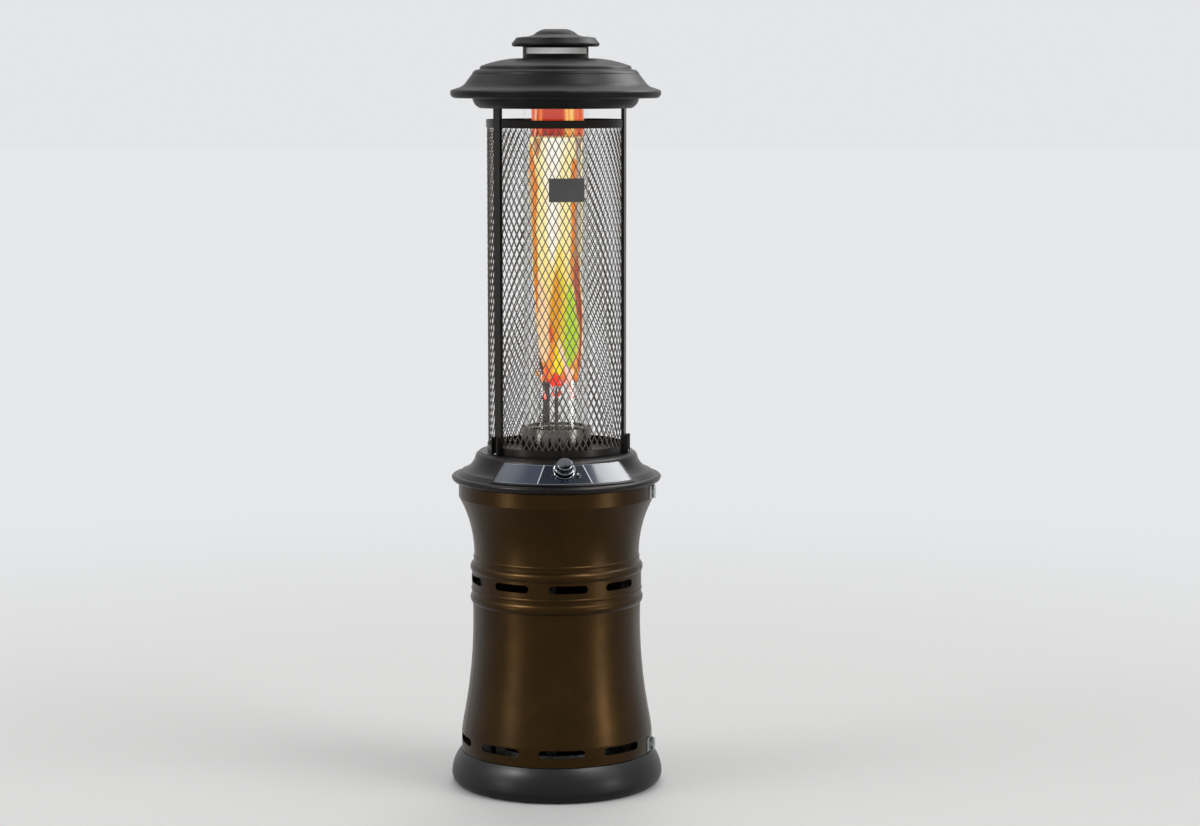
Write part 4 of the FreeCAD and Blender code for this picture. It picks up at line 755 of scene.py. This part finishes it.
    def label_edges(self) -> None:
        """Thin grey line round each bare label, and a band of painted white highlight between the labels."""
        inset = self.edge_width
        top, low = self.top_radius + inset, self.low_radius - inset
        right_edge = self.slant(-inset)
        left_edge = [(-across, back) for across, back in right_edge]
        upper, lower = self.turn_at(right_edge[0], top), self.turn_at(right_edge[-1], low)
        self.outline_strip("label_centre_edge", self.closed_route(
            left_edge[::-1] + self.arc(top, -upper, upper) + right_edge + self.arc(low, lower, -lower)),
            self.edge_width, LABEL_LINE)
        slant = self.slant(self.label_gap + inset)
        upper, lower = self.turn_at(slant[0], top), self.turn_at(slant[-1], low)
        far = self.side_angle - math.degrees(inset / self.low_radius)
        route = self.closed_route(slant[::-1] + self.arc(top, upper, far) + self.arc(low, far, lower))
        # the white band between the labels is a painted highlight, the glint of their bevelled edges
        band = self.slant(self.label_gap / 2)
        for side, lines, white in (("right", route, band),
                                   ("left", self.mirrored(route), self.mirrored(band))):
            self.outline_strip("label_%s_edge" % side, lines, self.edge_width, LABEL_LINE)
            self.outline_strip("label_%s_band" % side, white, self.highlight_width, LABEL_PAINTED_HIGHLIGHT)
        log.info("printed edges of three labels")

    def slant(self, offset: float) -> list[Place]:
        """Places down the slanting edge between the middle label and the right one.

        Args:
            offset: how far they lie towards the right of that edge.

        Returns:
            Nine places in plan, from the labels' upper line to their lower one.
        """
        overrun = 0.006

        def place(share: float) -> Place:
            """Place at a share of the edge, which overruns the labels at both ends."""
            across = self.centre_top + offset + (self.centre_low - self.centre_top) * share
            back = self.top_radius - overrun + (self.low_radius - self.top_radius + 2 * overrun) * share
            return across, -back

        def share_at(radius: float) -> float:
            """Share of the edge that lies at a radius."""
            shares = [number / 400 for number in range(401)]
            return min(shares, key=lambda share: abs(math.hypot(*place(share)) - radius))

        first = share_at(self.top_radius + self.edge_width)
        last = share_at(self.low_radius - self.edge_width)
        return [place(first + (last - first) * number / 8) for number in range(9)]

    @staticmethod
    def turn_at(place: Place, radius: float) -> float:
        """Angle from the front at which a place lies on a circle of this radius, in degrees."""
        return math.degrees(math.asin(place[0] / radius))

    @staticmethod
    def mirrored(route: list[Place]) -> list[Place]:
        """Route on the other side of the middle, in the opposite order."""
        return [(-across, back) for across, back in route[::-1]]

    @staticmethod
    def closed_route(route: list[Place]) -> list[Place]:
        """Route with its first two places once more at its end, so that a strip on it closes."""
        return route + route[:2]

    @staticmethod
    def arc(radius: float, begin: float, finish: float) -> list[Place]:
        """Places in plan on an arc, both ends included."""
        count = 16
        turns = [math.radians(begin + (finish - begin) * n / count) for n in range(count + 1)]
        return [(radius * math.sin(turn), -radius * math.cos(turn)) for turn in turns]


@dataclass(frozen=True)
class Stroke:
    """Upward stroke of colour in the flame: (level, place across, half width) along its way, from below."""

    code: str
    path: tuple[tuple[float, float, float], ...]
    softness: float = 0.35
    density: float = 1.0
    front_only: bool = False
    least_softness: float = 0.004

    def cover(self, across: float, level: float) -> float:
        """How strongly the stroke covers a place.

        Args:
            across: place across a third of the flame.
            level: height in metres.

        Returns:
            A share from 0 to 1.
        """
        if not self.path[0][0] <= level <= self.path[-1][0]:
            return 0.0
        middle, half = at_level(self.path, level)
        soft = half * self.softness + self.least_softness
        cover = min(1.0, max(0.0, (half + soft - abs(across - middle)) / (2 * soft)))
        return cover * cover * (3 - 2 * cover)


@dataclass(frozen=True)
class FlamePaint:
    """Colours of the flame, told for its front and repeated, narrower, on its two other sides.

    Places across run from -1 to 1 over each side, so that the fire looks alike from all round.
    """

    facing: float = -5.0
    front_half: float = 70.0
    wander: float = 0.05
    # how the strokes waver: waves round and up the flame, then strength and scale of the finer ones
    waves: Place = (2.4, 10.0)
    fine_waves: Place = (0.45, 3.1)
    # level, colour and density of the ground tone, from below
    ground: tuple[tuple[float, str, float], ...] = (
        (1.034, "#e03410", 0.2), (1.048, "#f04a14", 0.6), (1.060, "#f4702a", 0.95), (1.110, "#f7a85c", 1.0),
        (1.200, "#ffc888", 1.0), (1.290, "#ffe08c", 1.0), (1.370, "#fff0a4", 1.0), (1.560, "#fff1ac", 1.0),
        (1.6715, "#fff3b4", 1.0), (1.6765, "#a8240c", 1.0), (1.757, "#cc3c14", 1.0))
    strokes: tuple[Stroke, ...] = (
        Stroke("#fffcf0", ((1.30, -0.1, 0.0), (1.40, -0.12, 0.22), (1.60, -0.12, 0.30), (1.672, -0.05, 0.40)),
               softness=0.7),
        Stroke("#ffe666", ((1.24, 0.1, 0.0), (1.30, 0.05, 0.34), (1.36, 0.1, 0.2), (1.42, 0.1, 0.0)),
               softness=0.8),
        Stroke("#ffd9a8", ((1.10, -0.85, 0.12), (1.13, -0.85, 0.28), (1.20, -0.80, 0.28), (1.29, -0.78, 0.18),
                           (1.34, -0.82, 0.0)), softness=0.5),
        Stroke("#8a5444", ((1.33, 0.86, 0.12), (1.36, 0.865, 0.135), (1.425, 0.90, 0.14), (1.565, 0.93, 0.14),
                           (1.62, 0.93, 0.14), (1.6715, 0.92, 0.20)), softness=0.25, density=0.8,
               front_only=True),
        Stroke("#6e4a3c", ((1.30, -1.0, 0.02), (1.425, -1.02, 0.07), (1.565, -1.06, 0.07),
                           (1.65, -1.1, 0.05)), density=0.5),
        Stroke("#c07a44", ((1.615, -0.72, 0.0), (1.64, -0.70, 0.10), (1.6715, -0.72, 0.16)), density=0.9),
        Stroke("#ef8620", ((1.215, -1.0, 0.0), (1.262, -0.97, 0.05), (1.332, -0.91, 0.07),
                           (1.425, -0.88, 0.085), (1.565, -0.87, 0.12), (1.638, -0.95, 0.11),
                           (1.66, -1.0, 0.0)), softness=0.25, front_only=True),
        Stroke("#ec8420", ((1.285, 0.67, 0.0), (1.309, 0.667, 0.05), (1.355, 0.66, 0.07),
                           (1.425, 0.705, 0.085), (1.495, 0.735, 0.085), (1.60, 0.72, 0.11),
                           (1.616, 0.71, 0.09), (1.622, 0.70, 0.0)), softness=0.25),
        Stroke("#b04e36", ((1.07, 0.95, 0.06), (1.089, 0.96, 0.10), (1.122, 0.95, 0.09), (1.168, 0.98, 0.10),
                           (1.215, 0.93, 0.12), (1.262, 0.905, 0.13), (1.309, 0.85, 0.13),
                           (1.345, 0.87, 0.12), (1.38, 0.9, 0.0)), softness=0.3, front_only=True),
        Stroke("#e8d038", ((1.10, 0.06, 0.06), (1.18, 0.08, 0.22), (1.25, 0.14, 0.26), (1.30, 0.16, 0.20),
                           (1.35, 0.12, 0.0)), softness=0.5),
        Stroke("#e89c00", ((1.10, -0.28, 0.08), (1.145, -0.28, 0.22), (1.192, -0.25, 0.25),
                           (1.262, -0.13, 0.24), (1.309, -0.03, 0.15), (1.345, 0.0, 0.0)), softness=0.35),
        Stroke("#b4d830", ((1.078, 0.36, 0.0), (1.098, 0.40, 0.15), (1.122, 0.46, 0.265), (1.168, 0.54, 0.32),
                           (1.215, 0.53, 0.27), (1.262, 0.55, 0.18), (1.295, 0.55, 0.09), (1.31, 0.55, 0.0)),
               softness=0.4),
        Stroke("#ec4c18", ((1.143, -0.40, 0.0), (1.165, -0.42, 0.11), (1.185, -0.44, 0.10),
                           (1.205, -0.46, 0.0)), softness=0.6),
        Stroke("#ff9a24", ((1.056, -0.5, 0.30), (1.08, -0.50, 0.34), (1.12, -0.38, 0.20), (1.15, -0.36, 0.0)),
               softness=0.4),
        Stroke("#f04a28", ((1.058, -0.86, 0.0), (1.076, -0.86, 0.10), (1.096, -0.88, 0.0)), softness=0.6),
        Stroke("#ffe61c", ((1.060, -0.28, 0.12), (1.075, -0.24, 0.28), (1.098, -0.13, 0.28),
                           (1.125, -0.07, 0.18), (1.158, -0.10, 0.0)), softness=0.35),
        Stroke("#f4a038", ((1.052, 0.85, 0.08), (1.068, 0.80, 0.19), (1.085, 0.74, 0.17), (1.10, 0.70, 0.0)),
               softness=0.5),
        Stroke("#ffdccc", ((1.040, 0.76, 0.10), (1.056, 0.62, 0.13), (1.084, 0.28, 0.11), (1.117, 0.10, 0.09),
                           (1.145, -0.02, 0.06), (1.165, -0.08, 0.0)), softness=0.5),
        Stroke("#ff3010", ((1.03, -0.2, 0.6), (1.044, -0.3, 0.46), (1.053, -0.34, 0.36), (1.066, -0.36, 0.24),
                           (1.075, -0.36, 0.0)), softness=0.4),
        Stroke("#f0b48c", ((1.677, -0.88, 0.05), (1.757, -0.88, 0.06)), softness=0.5),
        Stroke("#ec7430", ((1.677, -0.68, 0.07), (1.757, -0.68, 0.08)), softness=0.5),
        Stroke("#f0802c", ((1.677, 0.50, 0.24), (1.757, 0.50, 0.24)), softness=0.4),
        Stroke("#f8c464", ((1.677, 0.34, 0.05), (1.757, 0.36, 0.06)), softness=0.5),
        Stroke("#f8cc74", ((1.677, 0.56, 0.08), (1.757, 0.56, 0.07)), softness=0.5),
        Stroke("#e8663a", ((1.677, 0.88, 0.14), (1.757, 0.88, 0.14)), softness=0.5))

    def place_across(self, angle: float) -> tuple[float, bool]:
        """Place across its side of the flame, and whether that is the front side.

        Args:
            angle: degrees from the front.

        Returns:
            The place from -1 to 1, and True in front.
        """
        offset = (angle - self.facing + 180.0) % 360.0 - 180.0
        half = self.front_half
        front = abs(offset) <= half
        if not front:
            half = (180.0 - self.front_half) / 2
            offset -= math.copysign(180.0 - half, offset)
        return math.sin(math.radians(offset)) / math.sin(math.radians(half)), front

    def ground_tone(self, level: float) -> Colour:
        """Colour and density of the ground tone at a level."""
        return at_level([(height, *linear(code)[:3], density) for height, code, density in self.ground], level)

    def colour(self, angle: float, level: float) -> Colour:
        """Colour and density of the burning gas at a place.

        Args:
            angle: degrees from the front.
            level: height in metres.

        Returns:
            Linear colour, with the density as its alpha.
        """
        turn = math.radians(angle)
        (waves_round, waves_up), (fine, scale) = self.waves, self.fine_waves
        spot = Vector((math.cos(turn) * waves_round, math.sin(turn) * waves_round, level * waves_up))
        drift = self.wander * (noise.noise(spot) + fine * noise.noise(spot * scale))
        across, front = self.place_across(angle)
        across += drift
        tone = self.ground_tone(level)
        for stroke in self.strokes:
            if stroke.front_only and not front:
                continue
            # a stroke at the edge of one side reaches over to the next side, unless it is for the front only
            shifts = (0.0,) if stroke.front_only else (-2.0, 0.0, 2.0)
            cover = max(stroke.cover(across + shift, level) for shift in shifts)
            if cover > 0:
                tone = mixed(tone, (*linear(stroke.code)[:3], stroke.density), cover)
        return tone


def paint_flame(piece: bpy.types.Object, colours: Sequence[Colour]) -> None:
    """Store the colour of each mesh point, for the material to read.

    Args:
        piece: flame piece.
        colours: linear colour and density of each of its points.
    """
    layer = piece.data.color_attributes.new(FLAME_TINT, "FLOAT_COLOR", "POINT")
    layer.data.foreach_set("color", [value for colour in colours for value in colour])


@dataclass(frozen=True)
class Tongue:
    """Small tongue at the flame's foot: place across, foot level, height, half width, lean, two colours."""

    across: float
    low: float
    height: float
    width: float
    lean: float
    foot: str
    tip: str
    all_round: bool = True


@dataclass
class FireColumn:
    """Glass tube with its seat, burner and flame."""

    # level, half width and sideways shift of the burning gas, from below
    shape: tuple[tuple[float, float, float], ...] = (
        (1.036, 0.012, 0.0), (1.044, 0.026, 0.004), (1.053, 0.036, 0.010), (1.066, 0.043, 0.013),
        (1.084, 0.048, 0.015), (1.122, 0.0565, 0.0115), (1.192, 0.0585, 0.0095), (1.262, 0.060, 0.006),
        (1.332, 0.062, 0.002), (1.425, 0.065, 0.001), (1.565, 0.0675, -0.0015), (1.655, 0.068, -0.001),
        (1.690, 0.0665, 0.0055), (1.757, 0.0665, 0.0055))
    rim: int = 168
    levels: int = 230
    bore: float = 0.0768
    ragged: float = 0.012
    ragged_waves: float = 3.2
    foot_rise: float = 0.006
    # swellings of the gas: strength, waves round it and up it, and the place where the noise is read
    swellings: tuple[tuple[float, float, float, Place], ...] = (
        (0.05, 1.3, 7.0, (2.6, 0.0)), (0.02, 3.4, 19.0, (0.0, 5.1)))
    paint: FlamePaint = field(default_factory=FlamePaint)
    tongue_group: tuple[Tongue, ...] = (
        Tongue(0.043, 1.009, 0.115, 0.0055, -0.028, "#ffb0a0", "#ffe8dc", all_round=False),
        Tongue(0.006, 1.008, 0.020, 0.0050, 0.004, "#d02818", "#ff6040", all_round=False),
        Tongue(0.034, 1.002, 0.026, 0.0050, 0.010, "#ff5040", "#ffd0c0"),
        Tongue(-0.026, 1.046, 0.040, 0.0050, -0.004, "#e04820", "#ff9a50"),
        Tongue(0.050, 1.046, 0.040, 0.0060, 0.002, "#e06018", "#f4ac3c"))

    def build(self) -> None:
        """Dress the column's nodes and light the flame."""
        # seat, collar and burner plate get stainless whose dark tone is a painted dark reflection
        dress(STAINLESS_PAINTED_DARK, ("glass_seat", "glass_collar", "burner_base"))
        dress(SOOTY_STEEL, ("burner_head", "pilot_hood"))
        dress(GLASS, ("glass_tube",))
        dress(FIBRE, ("gasket_lower", "gasket_upper"))
        dress(CERAMIC, ("igniter_electrode",))
        self.flame()
        self.tongues()

    def flame(self) -> None:
        """One closed, rippled body of burning gas with a ragged foot, painted all round."""
        foot, high = self.shape[0][0], self.shape[-1][0]
        points: list[Vector] = []
        tones: list[Colour] = []
        for row in range(self.levels + 1):
            for column in range(self.rim):
                turn = 2 * math.pi * column / self.rim
                way = Vector((math.cos(turn), math.sin(turn), 0))
                low = foot + self.ragged * noise.noise(way * self.ragged_waves)
                level = low + (high - low) * row / self.levels
                width, shift = at_level(self.shape, level)
                swell = sum((strength * noise.noise(way * waves + Vector((*start, level * climb)))
                             for strength, waves, climb, start in self.swellings), 1.0)
                radius = min(width * swell, self.bore - abs(shift))
                spot = way * radius + Vector((shift, 0, level))
                points.append(spot)
                tones.append(self.paint.colour(math.degrees(math.atan2(way.x, -way.y)), level))
        points.append(Vector((self.shape[0][2], 0, foot + self.foot_rise)))
        points.append(Vector((self.shape[-1][2], 0, high)))
        tones.extend((tones[0], tones[-1]))
        faces = tube_faces(self.levels + 1, self.rim)
        top = self.levels * self.rim
        for column in range(self.rim):
            following = (column + 1) % self.rim
            faces.append([following, column, len(points) - 2])
            faces.append([top + column, top + following, len(points) - 1])
        body = new_piece("flame_body", points, faces, GAS_FIRE, crease=60.0)
        paint_flame(body, tones)
        log.info("flame body")

    def tongues(self) -> None:
        """Tongues at the flame's foot, repeated round it so that every side shows some."""
        sides, seed_step = 3, 3.7
        for side in range(sides):
            turn = math.radians(self.paint.facing) + 2 * math.pi * side / sides
            for number, tongue in enumerate(self.tongue_group):
                if side == 0 or tongue.all_round:
                    name = "flame_tongue_%d_%d" % (side, number)
                    self.tongue(name, tongue, turn, side * seed_step + number)
        log.info("tongues at the foot of the flame")

    def tongue(self, name: str, kind: Tongue, turn: float, seed: float) -> None:
        """One tapered tongue on the flame's outer side.

        Args:
            name: name of the piece.
            kind: its size, place and colours.
            turn: angle about Z, in radians.
            seed: shifts its waves.
        """
        rows, columns = 22, 10
        # a tongue is widest below its middle, bluntly pointed, never thinner than a thread, and as deep as
        # half its width; it wavers, and stands clear of the flame
        belly, blunt, thread, flat, waver, waves, clear = 0.62, 0.8, 0.0002, 0.5, 0.004, 2.4, 0.002
        points, tones = [], []
        foot, tip = linear(kind.foot), linear(kind.tip)
        for row in range(rows + 1):
            share = row / rows
            level = kind.low + kind.height * share
            girth, shift = at_level(self.shape, level)
            width = kind.width * math.sin(math.pi * share ** belly) ** blunt + thread
            across = kind.across + kind.lean * share + waver * noise.noise(Vector((seed, share * waves, 0.5)))
            depth = math.sqrt(max(girth ** 2 - (across - shift) ** 2, 0.0001)) + clear
            for column in range(columns):
                angle = 2 * math.pi * column / columns
                spot = Vector((across + width * math.cos(angle), -depth + width * flat * math.sin(angle),
                               level))
                spot.rotate(Matrix.Rotation(turn, 3, "Z"))
                points.append(spot)
                tones.append(mixed(foot, tip, share))
        faces = [list(range(columns))[::-1], [rows * columns + column for column in range(columns)]]
        faces += tube_faces(rows + 1, columns)
        piece = new_piece(name, points, faces, GAS_FIRE, crease=60.0)
        paint_flame(piece, tones)


@dataclass
class ExpandedMesh:
    """Expanded metal sheet on a cylinder: diamond openings between tilted strands."""

    radius: float
    cells_round: int
    half_row: float
    low: float
    high: float
    strand: float
    tilt: float
    thickness: float
    turn: float = 0.0
    finish: Finish = MESH_STEEL

    def panel(self, name: str, begin: float, finish: float) -> bpy.types.Object:
        """Mesh between two angles.

        Args:
            name: name of the piece.
            begin: first angle, counted from the sheet's own turn.
            finish: last angle.

        Returns:
            The mesh, with its thickness as a modifier.
        """
        half_step = 180.0 / self.cells_round
        half_width = math.radians(half_step) * self.radius
        lean = math.hypot(half_width, self.half_row)
        # the strand's width is square to its own length, each opening gives up half of it
        across = half_width - self.strand / 2 * lean / self.half_row
        upright = self.half_row - self.strand / 2 * lean / half_width
        opening_turn = math.degrees(across / self.radius)
        rows = int((self.high - self.low) / self.half_row) - 1
        points, faces = [], []
        corners: dict[tuple[int, int], int] = {}
        first, last = math.ceil(begin / half_step), math.floor(finish / half_step)
        for row in range(1, rows + 1):
            level = self.low + row * self.half_row
            for column in range(first + 1, last):
                if (column + row) % 2:
                    continue
                angle = self.turn + column * half_step
                outer = []
                for east, north in ((0, 1), (1, 0), (0, -1), (-1, 0)):
                    key = (column + east, row + north)
                    if key not in corners:
                        corners[key] = len(points)
                        points.append(polar(self.radius, self.turn + key[0] * half_step,
                                            self.low + key[1] * self.half_row))
                    outer.append(corners[key])
                start = len(points)
                points.append(polar(self.radius - self.tilt, angle, level + upright))
                points.append(polar(self.radius, angle + opening_turn, level))
                points.append(polar(self.radius + self.tilt, angle, level - upright))
                points.append(polar(self.radius, angle - opening_turn, level))
                for side, following in ((0, 1), (1, 2), (2, 3), (3, 0)):
                    faces.append([outer[side], start + side, start + following, outer[following]])
        piece = new_piece(name, points, faces, self.finish, crease=20.0)
        solid = piece.modifiers.new("thickness", "SOLIDIFY")
        solid.thickness = self.thickness
        solid.offset = 0.0
        return piece


@dataclass
class Guard:
    """Posts, rings and expanded mesh round the glass, and the bare plate."""

    post_angle: float = 67.0
    post_lap: float = 2.0
    screw_seat: Place = (0.18675, 0.872)
    screw_radius: float = 0.0034
    screw_height: float = 0.0025
    sheet: ExpandedMesh = field(default_factory=lambda: ExpandedMesh(
        radius=0.1744, cells_round=64, half_row=0.017, low=0.872, high=1.7145, strand=0.0024, tilt=0.0007,
        thickness=0.0009, turn=6.0))

    def build(self) -> None:
        """Dress the guard and weave its mesh."""
        dress(BROWN_COAT, ("guard_post_left", "guard_post_right", "guard_post_rear", "post_feet",
                           "guard_ring_lower", "guard_ring_upper"))
        dress(GREY_COAT, ("bare_plate",))
        edge, rear, lap = self.post_angle, 180.0, self.post_lap
        radius, level = self.screw_seat
        drive_screws("foot_screws", [
            ScrewHead(polar(radius, self.sheet.turn + angle, level), Vector((0, 0, 1)), self.screw_radius,
                      self.screw_height) for angle in (-edge, edge, rear)])
        spans = {"front": (-edge + lap, edge - lap), "right": (edge + lap, rear - lap),
                 "left": (-rear + lap, -edge - lap)}
        for side, (begin, finish) in spans.items():
            piece = self.sheet.panel("guard_mesh_%s_fine" % side, begin, finish)
            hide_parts("guard_mesh_%s" % side)
            log.info("expanded mesh, %s panel", side)


@dataclass
class Top:
    """Hood, pan, chimney neck with its fine mesh, and cap."""

    # the real mesh has openings of 2 mm, which are drawn twice as large so that they show
    sheet: ExpandedMesh = field(default_factory=lambda: ExpandedMesh(
        radius=0.0808, cells_round=112, half_row=0.00285, low=1.8722, high=1.9008, strand=0.0009,
        tilt=0.0002, thickness=0.0006, finish=VENT_STEEL))

    def build(self) -> None:
        """Dress the top's nodes and weave the vent mesh."""
        dress(BLACK_COAT, ("hood", "hood_pan", "chimney_neck", "top_cap"))
        piece = self.sheet.panel("vent_mesh_fine", -180.0, 180.0)
        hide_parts("vent_strip")
        log.info("fine mesh in the neck")


@dataclass(frozen=True)
class Lamp:
    """Lamp that faces the heater: where it stands from the point it aims at, and Blender's settings."""

    name: str
    kind: str
    azimuth: float
    elevation: float
    distance: float
    aim_level: float
    settings: dict[str, Any]
    gloss_only: bool = True

    def place(self) -> None:
        """Add the lamp. One for gloss only shows as a highlight and lights nothing else."""
        data = bpy.data.lights.new("studio_" + self.name, self.kind)
        for setting, value in self.settings.items():
            setattr(data, setting, value)
        rise = math.radians(self.elevation)
        aim = Vector((0, 0, self.aim_level))
        stand = aim + polar(self.distance * math.cos(rise), self.azimuth, self.distance * math.sin(rise))
        lamp = bpy.data.objects.new("studio_" + self.name, data)
        lamp.location = stand
        lamp.rotation_euler = (aim - stand).to_track_quat("-Z", "Y").to_euler()
        lamp.visible_diffuse = not self.gloss_only
        bpy.context.scene.collection.objects.link(lamp)


# how far off suns and strips stand, and the level that a card aims at, which is the middle of the console
SUN_DISTANCE = 5.0
STRIP_DISTANCE = 2.6
CARD_AIM = 0.86


def sun(name: str, azimuth: float, elevation: float, strength: float, width: float = 35.0,
        gloss_only: bool = False) -> Lamp:
    """Sun from a direction, of a strength, that looks this many degrees wide."""
    return Lamp(name, "SUN", azimuth, elevation, SUN_DISTANCE, 0.0,
                {"energy": strength, "angle": math.radians(width)}, gloss_only)


def card(name: str, azimuth: float, elevation: float, distance: float, size: float,
         brightness: float) -> Lamp:
    """Soft white card of a brightness that hangs above the heater's side."""
    return Lamp(name, "AREA", azimuth, elevation, distance, CARD_AIM,
                {"size": size, "energy": brightness * math.pi * size ** 2})


def strip(name: str, azimuth: float, level: float, width: float, height: float, power: float) -> Lamp:
    """Upright soft lamp at a level."""
    return Lamp(name, "AREA", azimuth, 0.0, STRIP_DISTANCE, level,
                {"shape": "RECTANGLE", "size": width, "size_y": height, "energy": power})


@dataclass
class Studio:
    """Floor, light and camera."""

    floor_radius: float = 60.0
    distance: float = 7.349
    height: float = 1.85
    azimuth: float = -5.0
    pitch: float = 6.869
    pan: float = 0.877
    focal_px: float = 2873.7
    image_width: float = 1200.0
    # strength of the surroundings where they are seen and where they only light
    pale: float = 0.80
    plain: float = 0.50
    sky_tone: str = "#fcfdff"
    # soft suns give the plain light and two small ones glints; cards and upright strips give the long
    # highlights on the round cabinet, and the strips are too low for the glass
    lamps: tuple[Lamp, ...] = (
        sun("sun_right", 58.0, 42.0, 0.8), sun("sun_left", -75.0, 35.0, 0.5), sun("sun_back", 170.0, 50.0, 0.7),
        sun("sun_glint", 58.0, 62.0, 1.4, 10.0, True), sun("sun_glint_left", -69.0, 45.0, 1.7, 10.0, True),
        card("card_right", 112.0, 52.0, 2.5, 1.1, 9.5), card("card_left", -118.0, 60.0, 2.5, 0.9, 1.5),
        strip("strip_right", 54.0, 0.42, 0.5, 0.8, 11.0), strip("strip_left", -62.0, 0.42, 0.5, 0.8, 7.0))

    def build(self) -> None:
        """Set up the studio."""
        self.floor()
        self.sky()
        for lamp in self.lamps:
            lamp.place()
        self.camera()
        bpy.context.scene.view_settings.view_transform = "Standard"
        log.info("studio ready")

    def floor(self) -> None:
        """Round pale floor."""
        bpy.ops.mesh.primitive_circle_add(vertices=128, radius=self.floor_radius, fill_type="NGON",
                                          location=(0, 0, 0))
        ground = bpy.context.object
        ground.name = "studio_floor"
        ground.data.materials.append(StudioGround("matt_studio_floor").make())

    def sky(self) -> None:
        """Pale surroundings: pale where they are seen, softer where they only light."""
        world = bpy.data.worlds.new("studio_world")
        bpy.context.scene.world = world
        world.use_nodes = True
        tree = world.node_tree
        tree.nodes.clear()
        seen = ray_is(tree, "Camera")
        for kind in ("Transmission", "Glossy"):
            seen = calculated(tree, "MAXIMUM", seen, ray_is(tree, kind))
        background = add_node(tree, "ShaderNodeBackground", values={"Color": linear(self.sky_tone)},
                              links={"Strength": spread(tree, seen, self.plain, self.pale)}
                              ).outputs["Background"]
        add_node(tree, "ShaderNodeOutputWorld", links={"Surface": background})

    def camera(self) -> None:
        """Camera at the photograph's viewing angle."""
        turn = math.radians(self.azimuth)
        place = Vector((self.distance * math.sin(turn), -self.distance * math.cos(turn), self.height))
        aim = math.radians(self.azimuth - self.pan)
        down = math.radians(self.pitch)
        way = Vector((-math.sin(aim) * math.cos(down), math.cos(aim) * math.cos(down), -math.sin(down)))
        data = bpy.data.cameras.new("photo_camera")
        data.sensor_width = 36.0
        data.lens = self.focal_px / self.image_width * data.sensor_width
        eye = bpy.data.objects.new("photo_camera", data)
        eye.location = place
        eye.rotation_euler = way.to_track_quat("-Z", "Y").to_euler()
        bpy.context.scene.collection.objects.link(eye)
        bpy.context.scene.camera = eye


def main() -> None:
    """Build the studio and every sub-assembly, in order."""
    logging.basicConfig(level=logging.INFO, format="%(name)s: %(message)s")
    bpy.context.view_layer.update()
    for assembly in (Studio(), Cabinet(), Console(), FireColumn(), Guard(), Top()):
        assembly.build()
        log.info("built %s", type(assembly).__name__)


if __name__ == "__main__":
    main()
